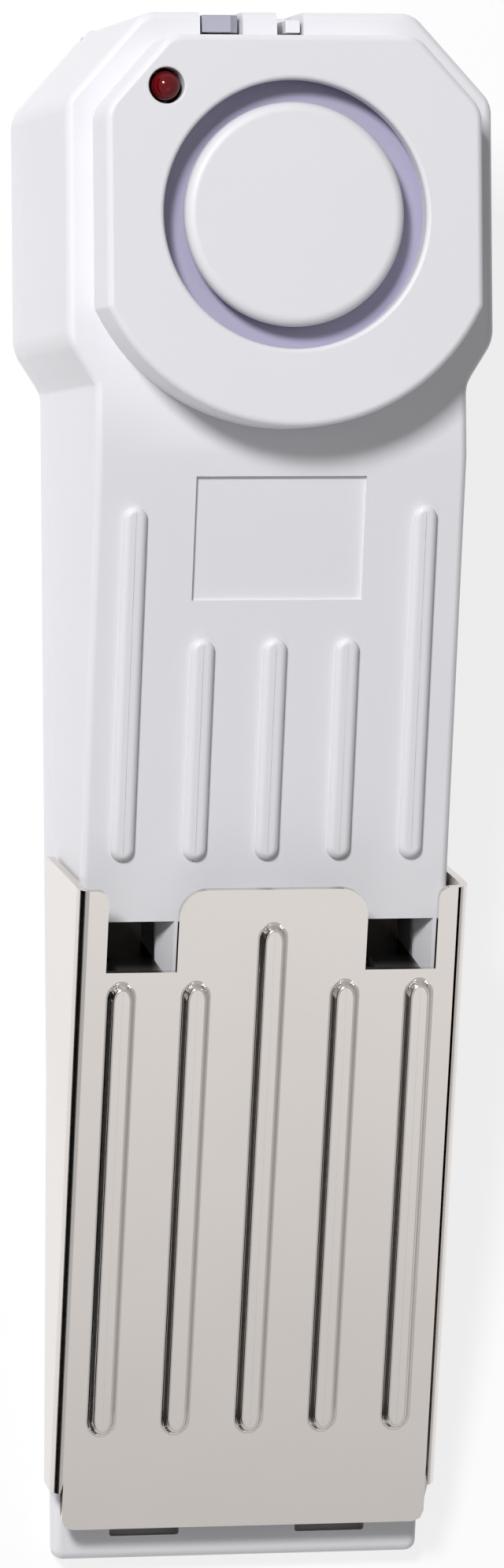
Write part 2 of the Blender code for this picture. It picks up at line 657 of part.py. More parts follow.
def mirrored(points):
    return [(-x, y) for x, y in reversed(points)]


def footprint(offset=0, radius=CORNER_RADIUS):
    """Outline of the housing from above, moved inwards by the offset."""
    half = BODY_WIDTH / 2
    right = [(half, TOE_Y), (half, NECK_Y), *head_corners()]
    return rounded(inset(right + mirrored(right), offset), radius)


def boss_outline(offset=0):
    """Outline of the boss: the head's sides moved in, closed by an arc about the siren."""
    corners = inset([(HEAD_WIDTH / 2, TOE_Y), *head_corners()[1:], *mirrored(head_corners()[1:]),
                     (-HEAD_WIDTH / 2, TOE_Y)], BOSS_INSET + offset)[1:-1]
    radius = BOSS_HALF + BOSS_ROUND_BULGE - offset
    reach = math.acos(corners[0][0] / radius)
    arc = []
    for i in range(BOSS_ROUND_STEPS + 1):
        turn = math.pi + reach + (math.pi - 2 * reach) * i / BOSS_ROUND_STEPS
        arc.append((radius * math.cos(turn), SIREN_Y + radius * math.sin(turn)))
    return arc + corners


def upper_profile(offset, front_y, bottom):
    """Side view of the upper shell, its top lowered by the offset, open past the rear wall."""
    rear = REAR_Y + OVERRUN
    return [
        (front_y, bottom),
        (rear, bottom),
        (rear, SHOULDER_HEIGHT - offset),
        (SLOPE_Y, SHOULDER_HEIGHT - offset),
        (front_y, roof(front_y) - offset),
    ]


def window(x_low, x_high, travel, front_y):
    """Cutter for a slide switch window, open at the shoulder."""
    low = (x_low, front_y, KNOB_BOTTOM - travel - GAP)
    return box("window", low, (x_high, REAR_Y + OVERRUN, SHOULDER_HEIGHT + OVERRUN))


def plate_under(y):
    """Height of the plate's lower face at rest."""
    rise = (PLATE_RISE - PLATE_THICKNESS) / math.cos(PLATE_ANGLE)
    return HINGE_HEIGHT + rise + (y - HINGE_Y) * math.tan(PLATE_ANGLE)


def notch_y():
    """Where the plate's notches end, on its upper face."""
    reach = PLATE_REACH - NOTCH_DEPTH
    return HINGE_Y + reach * math.cos(PLATE_ANGLE) - PLATE_RISE * math.sin(PLATE_ANGLE)


def well_rear_y():
    return notch_y() + WELL_REAR_TO_NOTCH


def make_upper_shell():
    width = HEAD_WIDTH
    shell = side_prism("upper_shell", upper_profile(0, TOE_JOINT_Y, UPPER_BOTTOM), width)
    keep_inside(shell, prism("outer", footprint(), 0, BOSS_TOP))
    join(shell, prism("boss", boss_outline(), LEDGE_UNDERSIDE, BOSS_TOP))
    front = TOE_JOINT_Y + 2 * WALL
    hollow = side_prism("hollow", upper_profile(WALL, front, UPPER_BOTTOM - OVERRUN), width)
    keep_inside(hollow, prism("inner", footprint(WALL), 0, BOSS_TOP))
    join(hollow, prism("boss_hollow", boss_outline(WALL), LEDGE_UNDERSIDE - OVERRUN, BOSS_TOP - WALL))
    cut(shell, hollow)
    add_wells(shell)
    add_ribs(shell)
    add_posts(shell)
    cut_head_openings(shell)
    add_trigger_seats(shell)
    return finished(shell, "white_abs")


def add_wells(shell):
    """Two shafts in the roof that take the plate's hooks."""
    rear = well_rear_y()
    front = rear - WELL_LENGTH
    outer = BODY_WIDTH / 2 - WELL_OUTER_WALL
    for side in (-1, 1):
        walls = [side * (WELL_INNER - WELL_WALL), side * (outer + WELL_OUTER_WALL / 2)]
        hole = [side * WELL_INNER, side * outer]
        shaft = prism("shaft", rectangle(walls, front - WELL_WALL, rear + WELL_WALL),
                      roof_and(-WELL_DEPTH), roof_and(-WALL / 2))
        opening = prism("opening", rectangle(hole, front, rear), roof_and(-WELL_DEPTH - OVERRUN), roof_and(OVERRUN))
        join(shell, shaft)
        cut(shell, opening)


def rectangle(sides, low_y, high_y):
    left, right = sorted(sides)
    return [(left, low_y), (right, low_y), (right, high_y), (left, high_y)]


def add_ribs(shell):
    """Raised ribs of the slope and the shallow recess of the label."""
    end = PLATE_FREE_Y + RIB_END_TO_PLATE
    middle = (RIB_COUNT - 1) / 2
    for i in range(RIB_COUNT):
        start = OUTER_RIB_START if i in (0, RIB_COUNT - 1) else INNER_RIB_START
        outline = stadium(RIB_WIDTH, end, SLOPE_Y - start, (i - middle) * RIB_PITCH)
        join(shell, prism("rib", outline, roof_and(-WALL / 2), roof_and(RIB_HEIGHT)))
    top = SLOPE_Y - LABEL_SETBACK
    half = LABEL_WIDTH / 2
    recess = rectangle((-half, half), top - LABEL_LENGTH, top)
    cut(shell, prism("label", recess, roof_and(-LABEL_DEPTH), roof_and(OVERRUN)))


def add_posts(shell):
    """Posts for the housing screws, the board screws and the switch board, with their bores."""
    bore = HOUSING_SCREW_RADIUS + GAP
    bore_top = SCREW_HEAD_BOTTOM + HOUSING_SCREW_HEAD + HOUSING_SCREW_LENGTH + GAP
    for x, y in HOUSING_SCREWS.values():
        join(shell, cylinder("post", SCREW_POST_RADIUS, UPPER_BOTTOM, roof_and(-WALL / 2), x, y))
        cut(shell, cylinder("bore", bore, UPPER_BOTTOM - OVERRUN, bore_top, x, y, SMALL_ROUND_STEPS))
    bore = SMALL_SCREW_RADIUS + GAP
    for x in (-BOARD_SCREW_X, BOARD_SCREW_X):
        low = BOARD_TOP + GAP
        high = BOARD_BOTTOM - GAP + SMALL_SCREW_LENGTH + GAP
        join(shell, cylinder("post", BOARD_POST_RADIUS, low, roof_and(-WALL / 2), x, BOARD_SCREW_Y))
        cut(shell, cylinder("bore", bore, low - OVERRUN, high, x, BOARD_SCREW_Y, SMALL_ROUND_STEPS))
    front = SWITCH_BOARD_Y + GAP
    deep = SWITCH_BOARD_Y - SWITCH_BOARD_THICKNESS - GAP + SMALL_SCREW_LENGTH + GAP
    for x in SWITCH_POST_X:
        low = (x - SWITCH_POST_WIDTH / 2, front, SWITCH_POST_Z - SWITCH_POST_HEIGHT / 2)
        high = (x + SWITCH_POST_WIDTH / 2, REAR_Y - WALL / 2, SWITCH_POST_Z + SWITCH_POST_HEIGHT / 2)
        join(shell, box("post", low, high))
        cut(shell, end_prism("bore", circle(bore, x, SWITCH_POST_Z, SMALL_ROUND_STEPS), front - OVERRUN, deep))


def cut_head_openings(shell):
    """Sound outlet, lamp hole and the two switch windows."""
    cut(shell, cylinder("outlet", SIREN_OPENING_RADIUS, SIREN_TOP, BOSS_TOP + OVERRUN, 0, SIREN_Y, 2 * ROUND_STEPS))
    hole = LAMP_RADIUS + GAP
    pocket = LAMP_FLANGE_RADIUS + GAP
    cut(shell, cylinder("lamp_hole", hole, LEDGE_UNDERSIDE, BOSS_TOP + OVERRUN, LAMP_X, LAMP_Y, SMALL_ROUND_STEPS))
    cut(shell, cylinder("lamp_pocket", pocket, LEDGE_UNDERSIDE, BOSS_TOP - WALL, LAMP_X, LAMP_Y, SMALL_ROUND_STEPS))
    half = POWER_KNOB_WIDTH / 2 + GAP
    cut(shell, window(POWER_X - half, POWER_X + half, POWER_TRAVEL, WINDOW_FRONT_Y))
    half = SENSITIVITY_KNOB_WIDTH / 2
    left = SENSITIVITY_X - half - SENSITIVITY_DARK_GAP
    cut(shell, window(left, SENSITIVITY_X + half + GAP, SENSITIVITY_TRAVEL, WINDOW_FRONT_Y))


def add_trigger_seats(shell):
    """Guide tube of the plunger and cups of the two springs."""
    guide_bottom = roof(PLUNGER_Y) - GUIDE_DEPTH
    join(shell, cylinder("guide", GUIDE_RADIUS, guide_bottom, roof_and(-WALL / 2), 0, PLUNGER_Y))
    bore = PLUNGER_RADIUS + GAP
    cut(shell, cylinder("guide_bore", bore, guide_bottom - OVERRUN, roof_and(OVERRUN), 0, PLUNGER_Y))
    floor = roof(SPRING_Y) - SPRING_CUP_DEPTH
    bore = SPRING_RADIUS + GAP
    for x in (-SPRING_SPACING / 2, SPRING_SPACING / 2):
        outer = bore + SPRING_CUP_WALL
        join(shell, cylinder("cup", outer, floor - SPRING_CUP_FLOOR, roof_and(-WALL / 2), x, SPRING_Y))
        cut(shell, cylinder("cup_bore", bore, floor, roof_and(OVERRUN), x, SPRING_Y))


def make_lower_shell():
    joint = TOE_JOINT_Y - SEAM
    over_toe = TOE_Y - OVERRUN
    over_rear = REAR_Y + OVERRUN
    profile = [
        (over_toe, BASE_BOTTOM),
        (over_rear, BASE_BOTTOM),
        (over_rear, PARTING_HEIGHT),
        (joint, PARTING_HEIGHT),
        (joint, roof(joint)),
        (over_toe, roof(over_toe)),
    ]
    shell = side_prism("lower_shell", profile, HEAD_WIDTH)
    keep_inside(shell, prism("outer", footprint(), 0, BOSS_TOP))
    pocket = prism("pocket", footprint(WALL), FLOOR_TOP, BOSS_TOP)
    front = TOE_JOINT_Y + WALL
    low = (-HEAD_WIDTH, front, 0)
    keep_inside(pocket, box("behind_toe", low, (HEAD_WIDTH, REAR_Y, BOSS_TOP)))
    cut(shell, pocket)
    add_battery_bay(shell)
    add_base_bosses(shell)
    cut_door_way(shell)
    cut_pad_pockets(shell)
    add_toe_hinge(shell)
    return finished(shell, "white_abs")


def add_battery_bay(shell):
    """Side walls that guide the battery and hold up the board, an end wall, and the microswitch's cradle."""
    inner = BAY_HALF
    rear = BATTERY_REAR_Y + GAP
    low = FLOOR_TOP - BASE_FLOOR / 4
    for side in (-1, 1):
        sides = (side * inner, side * (inner + BAY_WALL))
        outline = rectangle(sides, BATTERY_FRONT_Y, rear + BAY_WALL)
        join(shell, prism("bay_side", outline, low, BOARD_BOTTOM - GAP))
    end = rectangle((-inner - BAY_WALL / 2, inner + BAY_WALL / 2), rear, rear + BAY_WALL)
    join(shell, prism("bay_end", end, low, FLOOR_TOP + BAY_END_HEIGHT))
    inner = SWITCH_WIDTH / 2 + GAP
    for side in (-1, 1):
        sides = (side * inner, side * (inner + CRADLE_WALL))
        outline = rectangle(sides, switch_rear_y() - SWITCH_LENGTH, switch_rear_y())
        join(shell, prism("cradle", outline, low, FLOOR_TOP + CRADLE_HEIGHT))


def add_base_bosses(shell):
    """Bosses of the housing screws with their sunk heads."""
    boss = SCREW_POST_RADIUS + WALL / 4
    for x, y in HOUSING_SCREWS.values():
        disc = cylinder("boss", boss, FLOOR_TOP - BASE_FLOOR / 4, PARTING_HEIGHT, x, y)
        keep_inside(disc, prism("outer", footprint(WALL / 2), 0, BOSS_TOP))
        join(shell, disc)
        head = HOUSING_SCREW_HEAD_RADIUS + GAP
        hole = HOUSING_SCREW_RADIUS + GAP
        cut(shell, cylinder("sink", head, BASE_BOTTOM - OVERRUN, SCREW_SHELF, x, y))
        cut(shell, cylinder("hole", hole, BASE_BOTTOM, PARTING_HEIGHT + OVERRUN, x, y, SMALL_ROUND_STEPS))


def door_section(clearance):
    """Dovetail seen from the rear, wide side up."""
    low = DOOR_HALF_WIDTH + clearance
    high = low + DOOR_UNDERCUT
    bottom = BASE_BOTTOM - (OVERRUN if clearance else 0)
    top = DOOR_TOP + clearance
    return [(-low, bottom), (low, bottom), (high, top), (-high, top)]


def door_front_y():
    return BATTERY_FRONT_Y - TERMINAL_HEIGHT - DOOR_FRONT_TO_BAY


def cut_door_way(shell):
    """Dovetail channel of the door, open at the rear, and the hole that the battery goes through."""
    cut(shell, end_prism("channel", door_section(GAP), door_front_y() - GAP, REAR_Y + OVERRUN))
    hole = rectangle((-BAY_HALF, BAY_HALF), door_front_y() + WALL, BATTERY_REAR_Y + GAP)
    cut(shell, prism("battery_hole", hole, DOOR_TOP, FLOOR_TOP + OVERRUN))


def pad_outlines(clearance):
    """Name and outline of each anti-slip pad."""
    middle = FRONT_PAD_WIDTH / 2
    x = HEAD_WIDTH / 2 - REAR_PAD_EDGE
    half = REAR_PAD_WIDTH / 2
    high = REAR_SCREW_Y - REAR_PAD_TO_SCREW
    low = high - REAR_PAD_LENGTH
    shapes = {
        "front_pad": rectangle((-middle, middle), TOE_Y + FRONT_PAD_SETBACK, door_front_y() - FRONT_PAD_TO_DOOR),
        "rear_pad_left": rectangle((-x - half, -x + half), low, high),
        "rear_pad_right": rectangle((x - half, x + half), low, high),
    }
    return {name: rounded(inset(shape, -clearance), PAD_CORNER) for name, shape in shapes.items()}


def cut_pad_pockets(shell):
    for outline in pad_outlines(GAP).values():
        cut(shell, prism("pad_pocket", outline, 0, PAD_THICKNESS + GAP))


def add_toe_hinge(shell):
    """Ridge that the plate rocks on and the two slots that hold its toe tabs."""
    half = BODY_WIDTH / 2 - SADDLE_EDGE
    ridge = rectangle((-half, half), HINGE_Y - SADDLE_LENGTH / 2, HINGE_Y + SADDLE_LENGTH / 2)
    join(shell, prism("saddle", ridge, roof_and(-WALL / 4), HINGE_HEIGHT - GAP))
    rear = toe_slot_rear_y()
    half = TOE_TAB_WIDTH / 2 + GAP
    for side in (-1, 1):
        x = side * TOE_TAB_CENTRE
        outline = rectangle((x - half, x + half), rear - TOE_SLOT_LENGTH, rear)
        cut(shell, prism("toe_slot", outline, BASE_BOTTOM + TOE_SLOT_FLOOR, HINGE_HEIGHT))


def toe_slot_rear_y():
    """Rear wall of the toe slots, a clearance behind the tabs' lowest point."""
    tab_rear = TONGUE_REACH - PLATE_THICKNESS
    drop = TOE_TAB_LENGTH - PLATE_RISE
    return HINGE_Y - tab_rear * math.cos(PLATE_ANGLE) + drop * math.sin(PLATE_ANGLE) + 2 * GAP


def make_battery_door():
    door = end_prism("battery_door", door_section(0), door_front_y(), REAR_Y + OVERRUN)
    keep_inside(door, prism("outer", footprint(), 0, BOSS_TOP))
    half = DOOR_GROOVE_LENGTH / 2
    for i in range(DOOR_GROOVES):
        rear = REAR_Y - DOOR_GRIP_SETBACK - i * DOOR_GROOVE_PITCH
        groove = rectangle((-half, half), rear - DOOR_GROOVE_WIDTH, rear)
        cut(door, prism("groove", groove, 0, BASE_BOTTOM + DOOR_GROOVE_DEPTH))
    return finished(door, "white_abs")


def plate_section():
    """Half of the plate's section across X, from the middle of its upper face round the bend and back."""
    half = BODY_WIDTH / 2 + GAP + PLATE_THICKNESS
    bottom = PLATE_RISE - SKIRT_FREE_DEPTH
    points = []
    for radius in (PLATE_BEND_RADIUS, PLATE_BEND_RADIUS - PLATE_THICKNESS):
        centre_x = half - PLATE_BEND_RADIUS
        centre_z = PLATE_RISE - PLATE_BEND_RADIUS
        arc = []
        for i in range(PLATE_BEND_STEPS + 1):
            turn = math.pi / 2 * (1 - i / PLATE_BEND_STEPS)
            arc.append((centre_x + radius * math.cos(turn), centre_z + radius * math.sin(turn)))
        points.append(arc)
    outer, inner = points
    right = [*outer, (half, bottom), (half - PLATE_THICKNESS, bottom), *reversed(inner)]
    return [(-x, z) for x, z in right] + list(reversed(right))


def make_pressure_plate():
    """Bent steel cover in its own frame: the hinge axis is X, the plate runs along Y."""
    plate = end_prism("pressure_plate", plate_section(), SKIRT_START, PLATE_REACH)
    trim_skirts(plate)
    half = BODY_WIDTH / 2 + GAP + PLATE_THICKNESS
    tongue_half = half - TONGUE_INSET
    corner = TONGUE_CORNER
    tongue = [
        (-tongue_half + corner, -TONGUE_REACH),
        (tongue_half - corner, -TONGUE_REACH),
        (tongue_half, -TONGUE_REACH + corner),
        (tongue_half, SKIRT_START + corner),
        (-tongue_half, SKIRT_START + corner),
        (-tongue_half, -TONGUE_REACH + corner),
    ]
    join(plate, prism("tongue", tongue, PLATE_RISE - PLATE_THICKNESS, PLATE_RISE))
    cut_notches(plate)
    middle = (RIB_COUNT - 1) / 2
    for i in range(RIB_COUNT):
        end = CENTRE_RIB_END if i == middle else PLATE_RIB_END
        join(plate, plate_rib((i - middle) * PLATE_RIB_PITCH, PLATE_REACH - end))
    for side in (-1, 1):
        join(plate, plate_hook(side), toe_tab(side))
    finished(plate, "pressed_steel", (0, HINGE_Y, HINGE_HEIGHT))
    plate.rotation_euler.x = PLATE_ANGLE
    return plate


def trim_skirts(plate):
    """Cuts the wedge-shaped lower edge and the slanted rear edge of both sides."""
    top = PLATE_RISE - PLATE_BEND_RADIUS
    toe = PLATE_RISE - SKIRT_TOE_DEPTH
    free = PLATE_RISE - SKIRT_FREE_DEPTH
    slope = (free - toe) / (PLATE_REACH - SKIRT_START)
    start = SKIRT_START - OVERRUN
    below = [
        (start, free - OVERRUN),
        (PLATE_REACH + OVERRUN, free - OVERRUN),
        (PLATE_REACH + OVERRUN, free + OVERRUN * slope),
        (start, toe - OVERRUN * slope),
    ]
    behind = [
        (PLATE_REACH - SKIRT_REAR_SETBACK, free - OVERRUN),
        (PLATE_REACH + OVERRUN, free - OVERRUN),
        (PLATE_REACH + OVERRUN, top),
        (PLATE_REACH + OVERRUN / 4, top),
    ]
    cut(plate, side_prism("below", below, HEAD_WIDTH), side_prism("behind", behind, HEAD_WIDTH))


def cut_notches(plate):
    """Two notches over the wells, with the centre tab's and the side strips' corners rounded."""
    low = PLATE_RISE - PLATE_THICKNESS - OVERRUN
    high = PLATE_RISE + OVERRUN
    for side in (-1, 1):
        sides = (side * NOTCH_INNER, side * NOTCH_OUTER)
        outline = rectangle(sides, PLATE_REACH - NOTCH_DEPTH, PLATE_REACH + OVERRUN)
        cut(plate, prism("notch", outline, low, high))
        cut(plate, corner_cutter(side * NOTCH_INNER, side, CENTRE_TAB_CORNER, low, high))
        cut(plate, corner_cutter(side * NOTCH_OUTER, -side, STRIP_CORNER, low, high))


def corner_cutter(x, side, radius, low, high):
    """What lies outside an arc at a free corner. The side says which way the corner points."""
    y = PLATE_REACH
    arc = []
    for i in range(RIB_END_STEPS + 1):
        turn = math.pi / 2 * i / RIB_END_STEPS
        arc.append((x - side * radius * (1 - math.cos(turn)), y - radius * (1 - math.sin(turn))))
    outside = [(x - side * radius, y + OVERRUN), (x + side * OVERRUN, y + OVERRUN), (x + side * OVERRUN, y - radius)]
    return prism("corner", arc + outside, low, high)


def plate_rib(x, end):
    """Embossed rib with sloping sides, let into the plate by half its thickness."""
    mesh = bmesh.new()
    base = PLATE_RISE - PLATE_THICKNESS / 2
    spread = (PLATE_RIB_WIDTH - PLATE_RIB_TOP_WIDTH) / 2
    low = stadium(PLATE_RIB_WIDTH, PLATE_RIB_TOE, end, x)
    high = stadium(PLATE_RIB_TOP_WIDTH, PLATE_RIB_TOE + spread, end - spread, x)
    rings = [
        [mesh.verts.new((px, py, height)) for px, py in outline]
        for outline, height in ((low, base), (high, PLATE_RISE + PLATE_RIB_HEIGHT))
    ]
    mesh.faces.new(rings[0])
    mesh.faces.new(rings[1])
    for i in range(len(low)):
        mesh.faces.new((rings[0][i - 1], rings[0][i], rings[1][i], rings[1][i - 1]))
    return stored("rib", mesh)


def plate_hook(side):
    """Tab bent down into the well, with a foot that catches under the well's rear wall."""
    x = side * (NOTCH_INNER + NOTCH_OUTER) / 2
    rear = PLATE_REACH - NOTCH_DEPTH
    front = rear - PLATE_THICKNESS
    top = PLATE_RISE - PLATE_THICKNESS / 2
    bottom = PLATE_RISE - HOOK_LENGTH
    half = HOOK_WIDTH / 2
    tab = box("tab", (x - half, front, bottom), (x + half, rear, top))
    foot = box("foot", (x - half, front, bottom), (x + half, rear + HOOK_FOOT, bottom + PLATE_THICKNESS))
    return join(tab, foot)


def toe_tab(side):
    x = side * TOE_TAB_CENTRE
    half = TOE_TAB_WIDTH / 2
    low = (x - half, -TONGUE_REACH, PLATE_RISE - TOE_TAB_LENGTH)
    high = (x + half, PLATE_THICKNESS - TONGUE_REACH, PLATE_RISE - PLATE_THICKNESS / 2)
    return box("tab", low, high)


def switch_rear_y():
    """Rear end of the microswitch, next to the lever's pivot."""
    return lever_pivot()[1] + LEVER_PIVOT_HEIGHT / 2


def plunger_tip_z():
    return roof(PLUNGER_Y) - GUIDE_DEPTH - GAP - PLUNGER_FLANGE_THICKNESS - PLUNGER_TIP_LENGTH


def lever_pivot():
    """Axis of the microswitch's lever, placed so that the lever meets the plunger's tip."""
    contact = plunger_tip_z() - GAP - LEVER_THICKNESS / 2 / math.cos(LEVER_ANGLE)
    return (0, PLUNGER_Y + LEVER_ARM, contact - LEVER_ARM * math.tan(LEVER_ANGLE))


def make_trigger():
    """Plunger, microswitch, its lever and its button."""
    tip = plunger_tip_z()
    flange_low = tip + PLUNGER_TIP_LENGTH
    flange_high = flange_low + PLUNGER_FLANGE_THICKNESS
    edge = plate_under(PLUNGER_Y - PLUNGER_RADIUS) - GAP
    top = plate_under(PLUNGER_Y) - GAP
    profile = [
        (0, top),
        (PLUNGER_RADIUS / 2, top - (top - edge) / 4),
        (PLUNGER_RADIUS, edge),
        (PLUNGER_RADIUS, flange_high),
        (PLUNGER_FLANGE_RADIUS, flange_high),
        (PLUNGER_FLANGE_RADIUS, flange_low),
        (PLUNGER_TIP_RADIUS, flange_low),
        (PLUNGER_TIP_RADIUS, tip),
        (0, tip),
    ]
    finished(turned("trigger_plunger", profile), "white_abs", (0, PLUNGER_Y, 0), smooth=True)

    pivot = Vector(lever_pivot())
    body_top = pivot.z - LEVER_PIVOT_HEIGHT
    half = SWITCH_WIDTH / 2
    rear = switch_rear_y()
    body = box("trigger_switch", (-half, rear - SWITCH_LENGTH, FLOOR_TOP + GAP), (half, rear, body_top))
    button_y = pivot.y - BUTTON_ARM
    hole = BUTTON_RADIUS + GAP
    bottom = body_top - BUTTON_HOLE_DEPTH
    cut(body, cylinder("hole", hole, bottom, body_top + OVERRUN, 0, button_y, SMALL_ROUND_STEPS))
    finished(body, "black_plastic")

    lever_under = pivot.z + BUTTON_ARM * math.tan(LEVER_ANGLE) - LEVER_THICKNESS / math.cos(LEVER_ANGLE)
    low_side = BUTTON_RADIUS * math.tan(LEVER_ANGLE)
    button = cylinder("switch_button", BUTTON_RADIUS, bottom + 2 * BUTTON_RADIUS + GAP, lever_under - low_side,
                      0, 0, SMALL_ROUND_STEPS)
    finished(button, "ceramic", (0, button_y, 0))

    half = LEVER_WIDTH / 2
    reach = LEVER_ARM / math.cos(LEVER_ANGLE) + LEVER_OVERHANG
    lever = box("switch_lever", (-half, -reach, -LEVER_THICKNESS / 2), (half, 0, LEVER_THICKNESS / 2))
    join(lever, box("root", (-half, -LEVER_THICKNESS, -LEVER_THICKNESS), (half, LEVER_THICKNESS, LEVER_THICKNESS)))
    finished(lever, "zinc_steel", pivot)
    lever.rotation_euler.x = -LEVER_ANGLE


def make_springs():
    floor = roof(SPRING_Y) - SPRING_CUP_DEPTH
    low = floor + GAP / 2 + SPRING_WIRE / 2
    high = plate_under(SPRING_Y - SPRING_RADIUS) - GAP - SPRING_WIRE / 2
    mean = SPRING_RADIUS - SPRING_WIRE / 2
    count = SPRING_TURNS * SPRING_STEPS
    print("least gap between spring turns, mm:", round((high - low) / SPRING_TURNS / MM - SPRING_WIRE / MM, 2))
    for side, name in ((-1, "plate_spring_left"), (1, "plate_spring_right")):
        path = []
        for i in range(count + 1):
            turn = math.tau * i / SPRING_STEPS
            path.append((mean * math.cos(turn), mean * math.sin(turn), low + (high - low) * i / count))
        spring = swept(name, path, SPRING_WIRE / 2, 1, "zinc_steel")
        spring.location = (side * SPRING_SPACING / 2, SPRING_Y, 0)


def make_siren():
    """Cap, housing cup, sounding disc, its ceramic and the clamp ring."""
    place = (0, SIREN_Y, 0)
    cap_top = BOSS_TOP
    cap_low = cap_top - SIREN_CAP_THICKNESS
    cap = cylinder("siren_cap", SIREN_CAP_RADIUS, cap_low, cap_top, steps=2 * ROUND_STEPS)
    reach = SIREN_CAP_RADIUS - SIREN_CAP_LEG_INSET
    for i in range(SIREN_CAP_LEGS):
        turn = math.tau * i / SIREN_CAP_LEGS + math.pi / 2
        x = reach * math.cos(turn)
        y = reach * math.sin(turn)
        low = SIREN_DECK_TOP + GAP
        high = cap_low + SIREN_CAP_THICKNESS / 2
        join(cap, cylinder("leg", SIREN_CAP_LEG_RADIUS, low, high, x, y, SMALL_ROUND_STEPS))
    finished(cap, "white_abs", place, smooth=True)

    inner = SIREN_RADIUS - SIREN_WALL
    seat = CLAMP_RING_INNER + SIREN_WALL
    cup = turned(
        "siren_housing",
        [
            (SIREN_RADIUS, SIREN_TOP),
            (SIREN_RADIUS, SIREN_BOTTOM),
            (inner, SIREN_BOTTOM),
            (inner, SIREN_CEILING - SIREN_CHAMBER),
            (seat, SIREN_CEILING - SIREN_CHAMBER),
            (seat, SIREN_CEILING),
            (SIREN_HOLE_RADIUS, SIREN_CEILING),
            (SIREN_HOLE_RADIUS, SIREN_DECK_TOP),
            (inner, SIREN_DECK_TOP),
            (inner, SIREN_TOP),
        ],
        2 * ROUND_STEPS,
    )
    middle = SIREN_RADIUS - SIREN_WALL / 2 - SIREN_FOOT_INSET / 2
    for i in range(SIREN_FEET):
        turn = math.tau * (i + 1 / 2) / SIREN_FEET
        x = middle * math.cos(turn)
        y = middle * math.sin(turn)
        low = BOARD_TOP + GAP
        high = SIREN_BOTTOM + SIREN_WALL / 2
        join(cup, cylinder("foot", SIREN_FOOT_RADIUS, low, high, x, y, SMALL_ROUND_STEPS))
    ring_outer = inner - GAP
    cut(cup, turned("ring_room", ring(ring_outer + GAP, seat - SIREN_WALL, SIREN_BOTTOM, CLAMP_RING_TOP), 2 * ROUND_STEPS))
    finished(cup, "dark_plastic", place, smooth=True)

    disc = cylinder("piezo_disc", PIEZO_RADIUS, PIEZO_TOP - PIEZO_THICKNESS, PIEZO_TOP)
    finished(disc, "brass", place)
    low = PIEZO_TOP - PIEZO_THICKNESS - GAP - CERAMIC_THICKNESS
    radius = PIEZO_RADIUS - CERAMIC_INSET
    finished(cylinder("piezo_ceramic", radius, low, low + CERAMIC_THICKNESS), "ceramic", place)
    clamp = turned("siren_clamp_ring", ring(ring_outer, CLAMP_RING_INNER, SIREN_BOTTOM, CLAMP_RING_TOP))
    finished(clamp, "black_plastic", place)


def ring(outer, inner, low, high):
    return [(outer, high), (outer, low), (inner, low), (inner, high)]


def make_lamp():
    """Red lamp with its dome, flange and two legs down to the board."""
    top = BOSS_TOP + LAMP_PROUD
    crown = top - LAMP_RADIUS
    bottom = top - LAMP_LENGTH
    dome = [
        (LAMP_RADIUS * math.sin(math.pi / 2 * i / CORNER_STEPS), crown + LAMP_RADIUS * math.cos(math.pi / 2 * i / CORNER_STEPS))
        for i in range(CORNER_STEPS + 1)
    ]
    rim = bottom + LAMP_FLANGE_THICKNESS
    profile = [
        *dome,
        (LAMP_RADIUS, rim),
        (LAMP_FLANGE_RADIUS, rim),
        (LAMP_FLANGE_RADIUS, bottom),
        (0, bottom),
    ]
    profile[0] = (0, top)
    lamp = turned("status_lamp", profile, SMALL_ROUND_STEPS)
    for side in (-1, 1):
        x = side * LAMP_LEG_SPACING / 2
        high = bottom + LAMP_FLANGE_THICKNESS / 2
        join(lamp, cylinder("leg", LAMP_LEG_RADIUS, BOARD_TOP + GAP, high, x, 0, SMALL_ROUND_STEPS // 2))
    finished(lamp, "red_lens", (LAMP_X, LAMP_Y, 0), smooth=True)


def make_boards():
    """Main board with an ear under the lamp's legs, and the switch board behind it."""
    half = BOARD_HALF
    ear_left = LAMP_X - LAMP_LEG_SPACING / 2 - BOARD_EAR_SIDE
    ear_right = LAMP_X + LAMP_LEG_SPACING / 2 + BOARD_EAR_SIDE
    outline = [
        (-half, BOARD_FRONT_Y),
        (half, BOARD_FRONT_Y),
        (half, BOARD_REAR_Y),
        (ear_right, BOARD_REAR_Y),
        (ear_right, LAMP_Y + BOARD_EAR_REAR),
        (ear_left, LAMP_Y + BOARD_EAR_REAR),
        (ear_left, LAMP_Y - BOARD_EAR_FRONT),
        (-half, LAMP_Y - BOARD_EAR_FRONT),
    ]
    board = prism("circuit_board", outline, BOARD_BOTTOM, BOARD_TOP)
    hole = SMALL_SCREW_RADIUS + GAP
    for x in (-BOARD_SCREW_X, BOARD_SCREW_X):
        low = BOARD_BOTTOM - OVERRUN
        cut(board, cylinder("hole", hole, low, BOARD_TOP + OVERRUN, x, BOARD_SCREW_Y, SMALL_ROUND_STEPS))
    finished(board, "board_green")

    front = SWITCH_BOARD_Y - SWITCH_BOARD_THICKNESS
    margin = SLIDE_BODY_WIDTH / 2 + SWITCH_BOARD_MARGIN
    small = box("switch_board", (POWER_X - margin, front, SWITCH_BOARD_BOTTOM),
                (SENSITIVITY_X + margin, SWITCH_BOARD_Y, SWITCH_BOARD_TOP))
    for x in SWITCH_POST_X:
        circle_points = circle(hole, x, SWITCH_POST_Z, SMALL_ROUND_STEPS)
        cut(small, end_prism("hole", circle_points, front - OVERRUN, SWITCH_BOARD_Y + OVERRUN))
    finished(small, "board_green")


